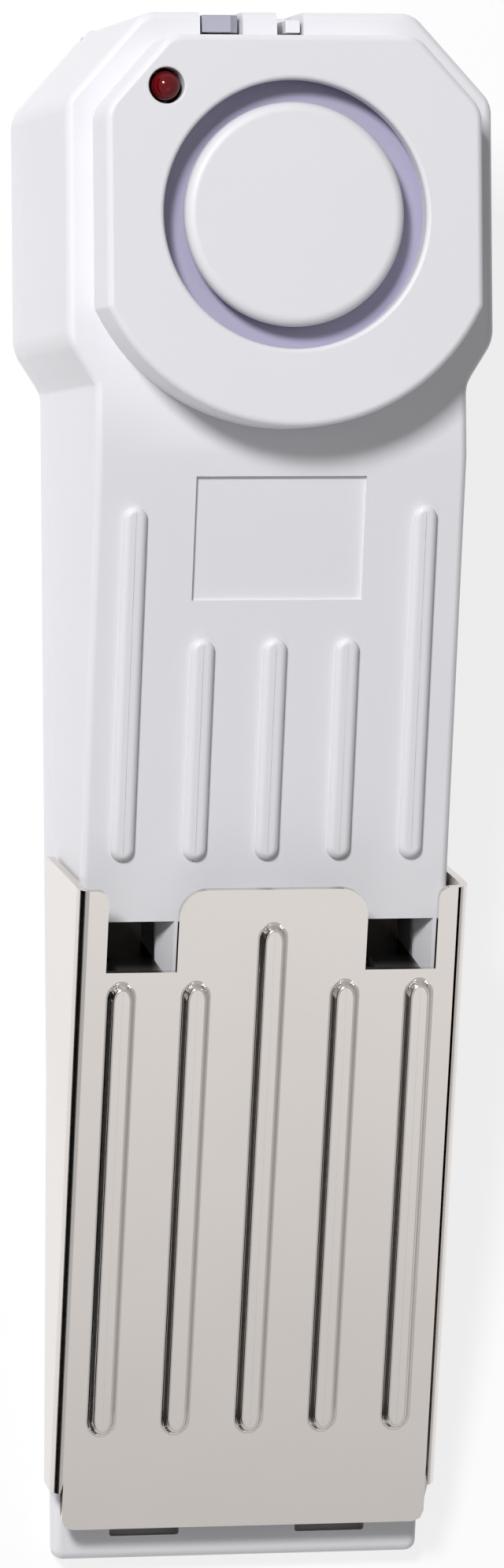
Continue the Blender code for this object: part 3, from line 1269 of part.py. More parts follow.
def make_slide_switch(name, x, travel, knob_width, knob_back, corner, finish):
    """Switch body on the switch board and the knob that slides down in the rear window."""
    front = SWITCH_BOARD_Y + GAP
    rear = front + SLIDE_BODY_DEPTH
    half = SLIDE_BODY_WIDTH / 2
    body = box(f"{name}_switch_body", (x - half, front, SLIDE_BODY_BOTTOM), (x + half, rear, SLIDE_BODY_TOP))
    stem_low = KNOB_BOTTOM + GAP / 2
    stem_high = stem_low + SLIDE_STEM_HEIGHT
    slot_half = SLIDE_STEM_WIDTH / 2 + GAP
    slot_low = (x - slot_half, rear - SLIDE_SLOT_DEPTH, stem_low - travel - GAP)
    cut(body, box("slot", slot_low, (x + slot_half, rear + OVERRUN, stem_high + GAP)))
    finished(body, "zinc_steel")

    half = knob_width / 2
    knob_front = REAR_Y - KNOB_FRONT_SETBACK
    knob_rear = REAR_Y - knob_back
    outline = [(-half, 0), (half, 0), (half, KNOB_HEIGHT - corner), (half - corner, KNOB_HEIGHT), (-half, KNOB_HEIGHT)]
    if not corner:
        outline = [(-half, 0), (half, 0), (half, KNOB_HEIGHT), (-half, KNOB_HEIGHT)]
    knob = end_prism(f"{name}_knob", outline, 0, knob_rear - knob_front)
    stem_half = SLIDE_STEM_WIDTH / 2
    stem_front = rear - SLIDE_STEM_SINK - knob_front
    low = (-stem_half, stem_front, stem_low - KNOB_BOTTOM)
    high = (stem_half, (knob_rear - knob_front) / 2, stem_high - KNOB_BOTTOM)
    join(knob, box("stem", low, high))
    finished(knob, finish, (x, knob_front, KNOB_BOTTOM))


def on_board(place):
    """X and Y of a component."""
    return place[0], SLOPE_Y + place[1]


def make_components():
    """What stands on the circuit board."""
    x, y = on_board(COIL_PLACE)
    top = LEDGE_UNDERSIDE - COIL_TOP_ROOM
    core = turned(
        "transformer_core",
        [
            (0, top),
            (COIL_RADIUS, top),
            (COIL_RADIUS, top - COIL_FLANGE),
            (COIL_CORE_RADIUS, top - COIL_FLANGE),
            (COIL_CORE_RADIUS, PARTS_BOTTOM + COIL_FLANGE),
            (COIL_RADIUS, PARTS_BOTTOM + COIL_FLANGE),
            (COIL_RADIUS, PARTS_BOTTOM),
            (0, PARTS_BOTTOM),
        ],
    )
    finished(core, "black_plastic", (x, y, 0), smooth=True)
    low = PARTS_BOTTOM + COIL_FLANGE + GAP
    winding = ring(COIL_RADIUS - GAP, COIL_CORE_RADIUS + GAP, low, top - COIL_FLANGE - GAP)
    finished(turned("transformer_winding", winding), "copper_wire", (x, y, 0), smooth=True)

    width, length, height = CHIP_SIZE
    chip = box("controller_chip", (-width / 2, -length / 2, 0), (width / 2, length / 2, height))
    finished(chip, "black_plastic", (*on_board(CHIP_PLACE), PARTS_BOTTOM))

    height = PART_ROOM - TRANSISTOR_TOP_ROOM
    can = cylinder("transistor", TRANSISTOR_RADIUS, 0, height, steps=SMALL_ROUND_STEPS)
    behind = (2 * TRANSISTOR_RADIUS, TRANSISTOR_RADIUS + OVERRUN, height + OVERRUN)
    cut(can, box("flat", (-2 * TRANSISTOR_RADIUS, TRANSISTOR_FLAT, -OVERRUN), behind))
    finished(can, "black_plastic", (*on_board(TRANSISTOR_PLACE), PARTS_BOTTOM))

    height = PART_ROOM - CAPACITOR_TOP_ROOM
    can = cylinder("capacitor", CAPACITOR_RADIUS, 0, height, steps=SMALL_ROUND_STEPS)
    finished(can, "battery_sleeve", (*on_board(CAPACITOR_PLACE), PARTS_BOTTOM))

    for i in range(RESISTORS):
        body = turned("resistor", [(0, RESISTOR_LENGTH), (RESISTOR_RADIUS, RESISTOR_LENGTH), (RESISTOR_RADIUS, 0), (0, 0)],
                      SMALL_ROUND_STEPS)
        body.name = f"resistor_{i + 1}"
        x, y = on_board(RESISTOR_PLACE)
        place = (x - RESISTOR_LENGTH / 2, y + i * RESISTOR_PITCH, PARTS_BOTTOM + RESISTOR_RADIUS)
        finished(body, "resistor_body", place)
        body.rotation_euler.y = math.pi / 2

    radius = (PART_ROOM - SENSOR_TOP_ROOM) / 2
    sensor = cylinder("vibration_sensor", radius, 0, SENSOR_LENGTH, steps=SMALL_ROUND_STEPS)
    x, y = on_board(SENSOR_PLACE)
    finished(sensor, "zinc_steel", (x, y + SENSOR_LENGTH / 2, PARTS_BOTTOM + radius))
    sensor.rotation_euler.x = math.pi / 2


def make_battery():
    """Battery with its terminals towards the toe, and the snap connector on them."""
    half = BATTERY_WIDTH / 2
    section = rounded([(-half, BATTERY_BOTTOM), (half, BATTERY_BOTTOM), (half, BATTERY_TOP), (-half, BATTERY_TOP)],
                      BATTERY_CORNER)
    finished(end_prism("battery_9v", section, BATTERY_FRONT_Y, BATTERY_REAR_Y), "battery_sleeve")

    half -= SNAP_SIDE_ROOM
    rear = BATTERY_FRONT_Y - GAP
    low = (-half, rear - SNAP_THICKNESS, BATTERY_MIDDLE - SNAP_HALF_HEIGHT)
    snap = box("snap_connector", low, (half, rear, BATTERY_MIDDLE + SNAP_HALF_HEIGHT))
    for side, radius, name in zip((-1, 1), TERMINAL_RADII, ("battery_terminal_positive", "battery_terminal_negative")):
        x = side * TERMINAL_SPACING / 2
        stud = circle(radius, x, BATTERY_MIDDLE, SMALL_ROUND_STEPS)
        front = rear - TERMINAL_HEIGHT
        finished(end_prism(name, stud, front, rear), "zinc_steel")
        socket = circle(radius + GAP, x, BATTERY_MIDDLE, SMALL_ROUND_STEPS)
        cut(snap, end_prism("socket", socket, front - GAP, rear + OVERRUN))
    finished(snap, "black_plastic")


def screw(name, radius, length, head_radius, head, place, turn=(0, 0, 0)):
    """Pan head screw pointing along its own Z, its origin under the head."""
    profile = [(0, length), (radius, length - radius / 2), (radius, 0), (head_radius, 0), (head_radius, -head), (0, -head)]
    solid = turned(name, profile, SMALL_ROUND_STEPS)
    half = SCREW_SLOT_WIDTH / 2
    low = (-head_radius - OVERRUN, -half, -head - OVERRUN)
    cut(solid, box("slot", low, (head_radius + OVERRUN, half, SCREW_SLOT_DEPTH - head)))
    finished(solid, "zinc_steel", place)
    solid.rotation_euler = turn


def make_screws():
    under_head = SCREW_HEAD_BOTTOM + HOUSING_SCREW_HEAD
    for corner, (x, y) in HOUSING_SCREWS.items():
        screw(f"housing_screw_{corner}", HOUSING_SCREW_RADIUS, HOUSING_SCREW_LENGTH, HOUSING_SCREW_HEAD_RADIUS,
              HOUSING_SCREW_HEAD, (x, y, under_head))
    small = (SMALL_SCREW_RADIUS, SMALL_SCREW_LENGTH, SMALL_SCREW_HEAD_RADIUS, SMALL_SCREW_HEAD)
    for side, x in (("left", -BOARD_SCREW_X), ("right", BOARD_SCREW_X)):
        screw(f"board_screw_{side}", *small, (x, BOARD_SCREW_Y, BOARD_BOTTOM - GAP))
    front = SWITCH_BOARD_Y - SWITCH_BOARD_THICKNESS - GAP
    for side, x in zip(("left", "right"), SWITCH_POST_X):
        screw(f"switch_board_screw_{side}", *small, (x, front, SWITCH_POST_Z), (-math.pi / 2, 0, 0))


def make_wires():
    """Wires from the snap connector, the microswitch and the siren to the board."""
    snap_front = BATTERY_FRONT_Y - GAP - SNAP_THICKNESS
    board_front = BOARD_FRONT_Y - GAP
    run = BOARD_TOP - WIRE_RADIUS
    out = 3 * WIRE_RADIUS
    start = BATTERY_MIDDLE + SNAP_HALF_HEIGHT / 2
    battery = (
        (snap_front - GAP, start),
        (snap_front - GAP - out, start + out),
        (snap_front - out, BATTERY_TOP),
        (BATTERY_FRONT_Y, run),
        (board_front - out, run),
        (board_front, run),
    )
    for side, name, finish in ((-1, "battery_wire_red", "red_wire"), (1, "battery_wire_black", "black_wire")):
        x = side * TERMINAL_SPACING / 2
        tube(name, [(x, y, z) for y, z in battery], WIRE_RADIUS, finish)

    rear = switch_rear_y()
    low = FLOOR_TOP + 4 * WIRE_RADIUS
    lift = rear + 6 * WIRE_RADIUS
    trigger = (
        (rear + GAP, low),
        (rear + GAP + out, low),
        (lift, low + out),
        ((lift + snap_front) / 2, BATTERY_MIDDLE),
        (snap_front - out, BATTERY_TOP - out),
        (BATTERY_FRONT_Y - GAP, run),
        (board_front - out, run),
        (board_front, run),
    )
    for side, name in ((-1, "trigger_wire_left"), (1, "trigger_wire_right")):
        x = side * SWITCH_WIDTH / 4
        tube(name, [(x, y, z) for y, z in trigger], WIRE_RADIUS, "yellow_wire")

    top = CLAMP_RING_TOP - CLAMP_RING_HEIGHT - GAP
    low = BOARD_TOP + GAP
    ring_x = (CLAMP_RING_INNER + PIEZO_RADIUS) / 2
    for side, name, finish in ((-1, "siren_wire_left", "black_wire"), (1, "siren_wire_right", "red_wire")):
        x = side * ring_x
        inner = x - side * 2 * WIRE_RADIUS
        bend = (top + low) / 2
        tube(name, [(x, SIREN_Y, top), (x, SIREN_Y, bend), (inner, SIREN_Y, low + out), (inner, SIREN_Y, low)],
             WIRE_RADIUS, finish)


def make_pads():
    for name, outline in pad_outlines(0).items():
        finished(prism(name, outline, 0, PAD_THICKNESS), "rubber")


def main():
    clear_scene()
    bpy.context.scene.collection.objects.link(bpy.data.objects.new("door_stop_alarm", None))
    make_upper_shell()
    make_lower_shell()
    make_battery_door()
    make_pressure_plate()
    make_trigger()
    make_springs()
    make_siren()
    make_lamp()
    make_boards()
    make_slide_switch("power", POWER_X, POWER_TRAVEL, POWER_KNOB_WIDTH, POWER_KNOB_BACK, POWER_KNOB_CORNER,
                      "grey_plastic")
    make_slide_switch("sensitivity", SENSITIVITY_X, SENSITIVITY_TRAVEL, SENSITIVITY_KNOB_WIDTH,
                      SENSITIVITY_KNOB_BACK, 0, "white_abs")
    make_components()
    make_battery()
    make_screws()
    make_wires()
    make_pads()


main()
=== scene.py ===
"""Door stop alarm: a white moulded wedge with a raised siren boss and a pressed steel pressure plate."""

import json
import math

import bmesh
import bpy
from mathutils import Euler, Matrix, Vector

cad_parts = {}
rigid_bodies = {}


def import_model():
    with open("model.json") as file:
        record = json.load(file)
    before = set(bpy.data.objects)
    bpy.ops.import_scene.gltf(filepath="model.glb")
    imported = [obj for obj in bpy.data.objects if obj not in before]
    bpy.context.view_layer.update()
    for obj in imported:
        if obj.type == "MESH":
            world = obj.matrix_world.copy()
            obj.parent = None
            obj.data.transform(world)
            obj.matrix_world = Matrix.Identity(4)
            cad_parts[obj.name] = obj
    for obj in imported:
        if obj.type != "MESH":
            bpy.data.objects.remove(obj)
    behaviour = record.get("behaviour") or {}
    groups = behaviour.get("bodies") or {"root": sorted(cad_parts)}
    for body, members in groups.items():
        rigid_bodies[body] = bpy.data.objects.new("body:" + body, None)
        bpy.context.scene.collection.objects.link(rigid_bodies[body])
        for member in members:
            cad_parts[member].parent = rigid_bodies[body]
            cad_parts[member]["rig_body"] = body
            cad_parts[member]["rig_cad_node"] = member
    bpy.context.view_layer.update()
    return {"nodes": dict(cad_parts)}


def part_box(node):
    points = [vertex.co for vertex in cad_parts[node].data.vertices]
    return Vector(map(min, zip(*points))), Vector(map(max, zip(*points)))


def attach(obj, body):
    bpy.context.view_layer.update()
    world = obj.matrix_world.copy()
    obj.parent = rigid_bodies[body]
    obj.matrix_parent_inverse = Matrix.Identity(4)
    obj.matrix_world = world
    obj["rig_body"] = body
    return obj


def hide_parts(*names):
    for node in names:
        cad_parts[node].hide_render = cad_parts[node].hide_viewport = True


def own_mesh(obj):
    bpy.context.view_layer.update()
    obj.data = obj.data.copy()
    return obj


MM = 0.001

# Rounded forms stay this far inside the solid model's faces
SKIN = 0.02 * MM
ROUND_SKIN = 0.1 * MM  # and round ones, because the solid model's arcs have few sides
OVERRUN = 1.0 * MM  # how far a cutter runs past what it cuts
GAP = 0.3 * MM  # margin where an edge is found by its place, and where two forms overlap
UNIT = 1.0  # size of a primitive that is then scaled to its measures
SIDES = (-1, 1)  # left and right

# Housing
HEAD_HALF = 22.5 * MM
BODY_HALF = 19.6 * MM
REAR_HALF = 14.2 * MM
TOE_Y = -80.5 * MM
REAR_Y = 80.5 * MM
HEAD_REAR_SIDE_Y = 71.3 * MM
HEAD_FRONT_SIDE_Y = 46.7 * MM
NECK_Y = 42.2 * MM
SLOPE_Y = 34.8 * MM
BASE_BOTTOM = 0.6 * MM
TOE_HEIGHT = 3.0 * MM
SHOULDER_HEIGHT = 30.7 * MM
SLOPE = (SHOULDER_HEIGHT - TOE_HEIGHT) / (SLOPE_Y - TOE_Y)
CORNER_RADIUS = 1.1 * MM
TOP_EDGE_RADIUS = 0.8 * MM
BASE_EDGE_RADIUS = 0.4 * MM

# Wells for the plate's hooks, with guides that slant in from their sides
WELL_SIDES = (9.4 * MM, 18.2 * MM)
WELL_FRONT_Y = -19.6 * MM
WELL_REAR_Y = -13.1 * MM
GUIDE_REACH = 1.2 * MM
GUIDE_DEPTH = 3.2 * MM

# Boss on the head
BOSS_HALF = 19.7 * MM
BOSS_REAR_Y = 77.7 * MM
BOSS_INSET = 2.8 * MM
BOSS_TOP = 38.0 * MM
BOSS_FOOT = 26.0 * MM
BOSS_ROUND_RADIUS = 21.9 * MM
BOSS_EDGE_RADIUS = 0.7 * MM
SIREN_Y = 59.4 * MM
SIREN_OPENING_RADIUS = 13.75 * MM
SIREN_OPENING_BOTTOM = 35.8 * MM
SIREN_RIM_RADIUS = 0.5 * MM
LAMP_X = -13.39 * MM
LAMP_Y = 72.44 * MM
LAMP_HOLE_RADIUS = 1.85 * MM
LAMP_RIM_RADIUS = 0.2 * MM
LAMP_HOLE_BOTTOM = 34.0 * MM

# Ribs of the slope
RIB_HALF_WIDTH = 1.35 * MM
RIB_PITCH = 7.65 * MM
RIB_COUNT = 5
MIDDLE_RIB = RIB_COUNT // 2
RIB_HEIGHT = 0.8 * MM
RIB_FRONT_Y = -6.92 * MM
OUTER_RIB_REAR_Y = 29.8 * MM
INNER_RIB_REAR_Y = 16.2 * MM
RIB_EDGE_RADIUS = 0.7 * MM

# Pressure plate, in its own frame: the hinge axis is X and the plate runs along Y
HINGE_Y = -74.5 * MM
HINGE_HEIGHT = 6.3015 * MM
PLATE_LIFT_ANGLE = math.radians(2.0)  # how much steeper than the slope it stands at rest
PLATE_ANGLE = math.atan(SLOPE) + PLATE_LIFT_ANGLE
PLATE_THICKNESS = 0.8 * MM
PLATE_TOP = 1.08 * MM
PLATE_HALF = 20.7 * MM
PLATE_REACH = 67.42 * MM
PLATE_BEND_RADIUS = 1.5 * MM
SKIRT_START = 1.6 * MM
SKIRT_TOE_DEPTH = 4.2 * MM
SKIRT_FREE_DEPTH = 17.6 * MM
SKIRT_REAR_SETBACK = 1.2 * MM
SKIRT_CUT_MARGIN = OVERRUN / 4
TONGUE_REACH = 2.4 * MM
TONGUE_INSET = 1.2 * MM
NOTCH_INNER = 10.0 * MM
NOTCH_OUTER = 17.5 * MM
NOTCH_DEPTH = 8.8 * MM
CENTRE_TAB_CORNER = 3.0 * MM
STRIP_CORNER = 1.2 * MM
PLATE_RIB_PITCH = 7.9 * MM
PLATE_RIB_HALF_WIDTH = 1.6 * MM
PLATE_RIB_SPREAD = 0.65 * MM  # how far each side slopes
PLATE_RIB_HEIGHT = 0.9 * MM
PLATE_RIB_TOE = 7.9 * MM
PLATE_RIB_END = 57.72 * MM
CENTRE_RIB_END = 63.92 * MM
PLATE_RIB_ROOT = OVERRUN / 5  # how deep a rib's root sits in the sheet
PLATE_RIB_TOP_RADIUS = 0.22 * MM
PLATE_RIB_FOOT_RADIUS = 0.25 * MM
HOOK_X = 13.75 * MM
HOOK_HALF_WIDTH = 2.25 * MM
HOOK_LENGTH = 12.4 * MM
HOOK_FOOT = 2.8 * MM
TOE_TAB_X = 10.0 * MM
TOE_TAB_HALF_WIDTH = 3.7 * MM
TOE_TAB_LENGTH = 5.0 * MM
TOE_SLOT_HALF_WIDTH = 3.75 * MM
TOE_SLOT_FRONT = -78.1 * MM
TOE_SLOT_REAR = -76.6 * MM
TOE_SLOT_BOTTOM = 1.3 * MM
TOE_SLOT_CORNER = 0.3 * MM
SHEET_EDGE_RADIUS = 0.12 * MM
HOOK_SHADE_DEPTH = 3.0 * MM  # how far down a hook the painted shade deepens to its full tone

# Siren, lamp and small parts
CAP_RADIUS = 11.5 * MM
CAP_THICKNESS = 1.7 * MM
CAP_EDGE_RADIUS = 1.1 * MM
CAP_LEG_RADIUS = 1.0 * MM
CAP_LEG_REACH = 8.0 * MM
CAP_LEGS = 3
SIREN_DECK_TOP = 33.2 * MM
SIREN_RING_TOP = 34.7 * MM
SIREN_RING_INNER = 9.3 * MM
SIREN_RING_OUTER = 14.5 * MM
LAMP_RADIUS = 1.5 * MM
LAMP_TOP = 38.6 * MM
LAMP_BOTTOM = 33.2 * MM
LAMP_FLANGE_RADIUS = 1.75 * MM
LAMP_FLANGE_THICKNESS = 0.8 * MM
LAMP_LEG_RADIUS = 0.3 * MM
LAMP_LEG_SPACING = 2.54 * MM
SMALL_EDGE_RADIUS = 0.2 * MM
FINE_EDGE_RADIUS = 0.1 * MM

ROUND_SIDES = 96
SMALL_ROUND_SIDES = 48
LEG_SIDES = 12

# Faces across a rounded edge
FINE_STEPS = 2
SMALL_STEPS = 3
SOFT_STEPS = 4
EDGE_STEPS = 5
ROUND_STEPS = 6
BEND_STEPS = 8
DOME_STEPS = 10

MERGE_DISTANCE = 0.002 * MM
NEARNESS = 0.05 * MM  # places closer than this count as one
FLAT_ANGLE = math.radians(0.5)
SMOOTH_ANGLE = math.radians(32)
BEVEL_ANGLE = math.radians(40)
CORNER_ANGLE = math.radians(10)
SHEET_ANGLE = math.radians(70)
ALONG = 0.99  # least share of an edge's length along an axis for it to run along that axis
UPPER = 0.9  # least upward share of a normal for its face to be an upper one
OPEN_END = 0.5  # and least downward or endways share for it to be an open side of the sheet
RIB_SIDE_SHARES = (0.0003, 0.89)  # between these upward shares a face is a plate rib's side

# Camera, fitted to the photograph
CAMERA_AIM = Vector((-0.137 * MM, 1.043 * MM, 15.0 * MM))
CAMERA_DISTANCE = 1031.7 * MM
CAMERA_TURN = Euler((math.radians(0.418), math.radians(12.314), math.radians(0.576)))
CAMERA_LENS = 226.85  # Blender takes this and the sensor's size in millimetres
SENSOR_SIZE = 36
CAMERA_CLIP = 20.0


def choose(obj):
    """Makes this the only selected object."""
    if bpy.context.object and bpy.context.object.mode != "OBJECT":
        bpy.ops.object.mode_set(mode="OBJECT")
    bpy.ops.object.select_all(action="DESELECT")
    obj.select_set(True)
    bpy.context.view_layer.objects.active = obj


def place_in_mesh(obj):
    """Moves the object's place, turn and scale into its mesh."""
    choose(obj)
    bpy.ops.object.transform_apply(location=True, rotation=True, scale=True)


def edit(obj, kind, test=None):
    """Opens the mesh for editing with the vertices, edges or faces that pass the test selected."""
    choose(obj)
    bpy.ops.object.mode_set(mode="EDIT")
    bpy.ops.mesh.select_mode(type=kind)
    bpy.ops.mesh.select_all(action="DESELECT" if test else "SELECT")
    if test:
        mesh = bmesh.from_edit_mesh(obj.data)
        parts = {"VERT": mesh.verts, "EDGE": mesh.edges, "FACE": mesh.faces}[kind]
        for part in parts:
            part.select_set(test(part))
        mesh.select_flush_mode()
        bmesh.update_edit_mesh(obj.data)


def close_edit():
    bpy.ops.object.mode_set(mode="OBJECT")


def block(name, low, high):
    """A block between two corners."""
    low = Vector(low)
    high = Vector(high)
    bpy.ops.object.select_all(action="DESELECT")
    bpy.ops.mesh.primitive_cube_add(size=UNIT, location=(low + high) / 2, scale=high - low)
    obj = bpy.context.object
    obj.name = name
    place_in_mesh(obj)
    return obj


def disc(name, radius, low, high, x=0, y=0, sides=ROUND_SIDES):
    """An upright cylinder."""
    bpy.ops.object.select_all(action="DESELECT")
    place = (x, y, (low + high) / 2)
    bpy.ops.mesh.primitive_cylinder_add(vertices=sides, radius=radius, depth=high - low, location=place)
    obj = bpy.context.object
    obj.name = name
    place_in_mesh(obj)
    return obj


def ring_cut(obj, y):
    """Adds a line of edges round the mesh where it crosses this place along Y."""
    edit(obj, "FACE")
    bpy.ops.mesh.bisect(plane_co=(0, y, 0), plane_no=(0, 1, 0))
    close_edit()


def slice_off(obj, place, normal):
    """Takes off what lies beyond a plane and closes the cut."""
    edit(obj, "FACE")
    across = Vector(normal).normalized()
    bpy.ops.mesh.bisect(plane_co=place, plane_no=across, use_fill=True, clear_outer=True)
    close_edit()


def bevel(obj, test, width, steps):
    """Rounds the edges that pass the test."""
    edit(obj, "EDGE", test)
    bpy.ops.mesh.bevel(offset=width, segments=steps, affect="EDGES")
    close_edit()


def scale_across(obj, test, factor):
    """Widens or narrows the vertices that pass the test about the middle line."""
    edit(obj, "VERT", test)
    bpy.ops.transform.resize(value=(factor, 1, 1), center_override=(0, 0, 0))
    close_edit()


def move(obj, test, shift):
    """Moves the vertices that pass the test."""
    edit(obj, "VERT", test)
    bpy.ops.transform.translate(value=shift)
    close_edit()


def apply_modifier(obj, kind, **settings):
    """Adds a modifier with its settings and applies it."""
    choose(obj)
    modifier = obj.modifiers.new(kind.title(), kind)
    for name, value in settings.items():
        setattr(modifier, name, value)
    bpy.ops.object.modifier_apply(modifier=modifier.name)


def round_edges(obj, width, steps, angle):
    """Rounds every edge whose faces meet at more than the angle."""
    apply_modifier(obj, "BEVEL", width=width, segments=steps, limit_method="ANGLE", angle_limit=angle)


def combine(obj, tool, operation):
    """Joins, cuts or keeps what both have. The tool is used up."""
    apply_modifier(obj, "BOOLEAN", operation=operation, object=tool, solver="EXACT")
    bpy.data.objects.remove(tool)


def clean(obj, distance=MERGE_DISTANCE):
    """Merges what is doubled and takes out edges across flat faces."""
    edit(obj, "VERT")
    bpy.ops.mesh.remove_doubles(threshold=distance)
    bpy.ops.mesh.dissolve_limited(angle_limit=FLAT_ANGLE)
    close_edit()


def copied(node):
    """A merged copy of a solid of the frame."""
    obj = frame["nodes"][node].copy()
    obj.data = frame["nodes"][node].data.copy()
    obj.parent = None
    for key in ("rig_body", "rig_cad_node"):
        if key in obj:
            del obj[key]
    obj.name = node + "_finished"
    bpy.context.scene.collection.objects.link(obj)
    clean(obj)
    return obj


def middle(edge):
    return (edge.verts[0].co + edge.verts[1].co) / 2


def runs_along(edge, axis):
    """Whether an edge runs along an axis, from 0 for X to 2 for Z."""
    run = edge.verts[1].co - edge.verts[0].co
    return abs(run[axis]) > ALONG * run.length


def upright(edge):
    return runs_along(edge, 2)


def turns(edge, angle):
    """Whether the faces at an edge meet at more than this angle."""
    return len(edge.link_faces) == 2 and edge.calc_face_angle(0) > angle


def near(a, b):
    return abs(a - b) < NEARNESS


def shade(obj):
    """Smooth shading up to real edges, with large flat faces kept flat."""
    choose(obj)
    if obj.data.has_custom_normals:
        bpy.ops.mesh.customdata_custom_splitnormals_clear()
    bpy.ops.object.shade_smooth_by_angle(angle=SMOOTH_ANGLE)
    apply_modifier(obj, "WEIGHTED_NORMAL", keep_sharp=True, thresh=0)


def fit_out(obj, body, slot, *nodes):
    """Gives a finished piece its material and its body, and hides the solids that it stands for."""
    shade(obj)
    obj.data.materials.clear()
    obj.data.materials.append(MATERIALS[slot])
    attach(obj, body)
    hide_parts(*nodes)


# Housing


def housing_form():
    """The wedge with its eight-sided head, as one solid with rounded edges."""
    form = block(
        "housing_form",
        (-BODY_HALF + SKIN, TOE_Y + SKIN, BASE_BOTTOM + SKIN),
        (BODY_HALF - SKIN, REAR_Y - SKIN, SHOULDER_HEIGHT - SKIN),
    )
    for y in (SLOPE_Y, NECK_Y, HEAD_FRONT_SIDE_Y, HEAD_REAR_SIDE_Y):
        ring_cut(form, y)
    inner_half = BODY_HALF - SKIN
    head = (HEAD_FRONT_SIDE_Y - GAP, HEAD_REAR_SIDE_Y + GAP)
    scale_across(form, lambda v: head[0] < v.co.y < head[1], (HEAD_HALF - SKIN) / inner_half)
    scale_across(form, lambda v: v.co.y > head[1], (REAR_HALF - SKIN) / inner_half)
    drop = TOE_HEIGHT - SHOULDER_HEIGHT
    move(form, lambda v: v.co.y < TOE_Y + GAP and v.co.z > SHOULDER_HEIGHT - GAP, (0, 0, drop))
    bevel(form, lambda e: upright(e) and turns(e, CORNER_ANGLE), CORNER_RADIUS, EDGE_STEPS)
    bevel(form, top_edge, TOP_EDGE_RADIUS, EDGE_STEPS)
    bevel(form, at_base, BASE_EDGE_RADIUS, SMALL_STEPS)
    return form


def top_edge(edge):
    """Whether an edge lies between a side and the upper face."""
    return turns(edge, BEVEL_ANGLE) and max(face.normal.z for face in edge.link_faces) > UPPER


def at_base(edge):
    """Whether an edge runs round the underside."""
    return middle(edge).z < BASE_BOTTOM + GAP and turns(edge, BEVEL_ANGLE)


def boss_form():
    """The boss: a drum drawn out to the rear, with its two rear corners cut."""
    half = BOSS_HALF - SKIN
    radius = BOSS_ROUND_RADIUS - ROUND_SKIN
    boss = disc("boss_form", radius, BOSS_FOOT, BOSS_TOP - SKIN, 0, SIREN_Y)
    for side in SIDES:
        slice_off(boss, (side * half, 0, 0), (side, 0, 0))
    joint_y = SIREN_Y - math.sqrt(radius**2 - half**2)
    slice_off(boss, (0, joint_y, 0), (0, 1, 0))
    edit(boss, "FACE", lambda f: f.normal.y > ALONG)
    bpy.ops.mesh.extrude_region_move(TRANSFORM_OT_translate={"value": (0, BOSS_REAR_Y - SKIN - joint_y, 0)})
    close_edit()
    corner = Vector((HEAD_HALF - REAR_HALF, REAR_Y - HEAD_REAR_SIDE_Y)).normalized()
    for side in SIDES:
        normal = Vector((side * corner.y, corner.x, 0))
        edge = Vector((side * REAR_HALF, REAR_Y, 0)) - normal * (BOSS_INSET + SKIN)
        slice_off(boss, edge, normal)
    clean(boss, ROUND_SKIN)

    def at_rear_corner(edge):
        return upright(edge) and middle(edge).y > joint_y + GAP and turns(edge, CORNER_ANGLE)

    bevel(boss, at_rear_corner, CORNER_RADIUS, EDGE_STEPS)
    bevel(boss, top_edge, BOSS_EDGE_RADIUS, EDGE_STEPS)
    return boss


def rib_form(x, rear_y):
    """One rib of the slope, with round ends and a rounded top edge."""
    half = RIB_HALF_WIDTH - ROUND_SKIN
    rib = block(
        "rib_form",
        (x - half, RIB_FRONT_Y + ROUND_SKIN, TOE_HEIGHT + CORNER_RADIUS),
        (x + half, rear_y - ROUND_SKIN, SHOULDER_HEIGHT),
    )
    bevel(rib, upright, half - SKIN, BEND_STEPS)
    slice_off(rib, (0, SLOPE_Y, SHOULDER_HEIGHT + RIB_HEIGHT - SKIN), (0, -SLOPE, 1))
    bevel(rib, top_edge, RIB_EDGE_RADIUS, SOFT_STEPS)
    return rib


def guide_form(x, reach):
    """A guide in a well, flush with the slope at the well's side and further in the deeper it goes."""
    surface = TOE_HEIGHT + SLOPE * (WELL_FRONT_Y - TOE_Y)
    inside = x - math.copysign(GAP, reach)
    low = (min(inside, x + reach), WELL_FRONT_Y - GAP, surface - GUIDE_DEPTH)
    high = (max(inside, x + reach), WELL_REAR_Y + GAP, surface + GUIDE_DEPTH)
    guide = block("guide", low, high)
    along = Vector((0, 1, SLOPE))
    down = Vector((reach, 0, -GUIDE_DEPTH))
    outwards = along.cross(down)
    if outwards.x * reach < 0:
        outwards.negate()
    slice_off(guide, (x, WELL_FRONT_Y, surface), outwards)
    slice_off(guide, (x, WELL_FRONT_Y, surface - SKIN - SKIN), (0, -SLOPE, 1))
    return guide


def toe_slot_form(side):
    """What is cut for the part of a toe slot that shows past the plate."""
    low = (side * TOE_TAB_X - TOE_SLOT_HALF_WIDTH, TOE_SLOT_FRONT, TOE_SLOT_BOTTOM)
    high = (side * TOE_TAB_X + TOE_SLOT_HALF_WIDTH, TOE_SLOT_REAR, TOE_HEIGHT + PLATE_BEND_RADIUS)
    slot = block("toe_slot", low, high)
    bevel(slot, at_slot_front, TOE_SLOT_CORNER, SOFT_STEPS)
    return slot


def at_slot_front(edge):
    """Whether an edge is an upright one at the front of a toe slot."""
    return upright(edge) and near(middle(edge).y, TOE_SLOT_FRONT)


def drill(obj, radius, rim, bottom, x, y, sides):
    """Cuts a round hole down from the boss's top and rounds its rim."""
    top = BOSS_TOP - SKIN
    combine(obj, disc("drill", radius, bottom, top + OVERRUN, x, y, sides), "DIFFERENCE")
    clean(obj)

    def on_rim(edge):
        reach = math.hypot(middle(edge).x - x, middle(edge).y - y)
        return near(middle(edge).z, top) and near(reach, radius)

    bevel(obj, on_rim, rim, EDGE_STEPS)


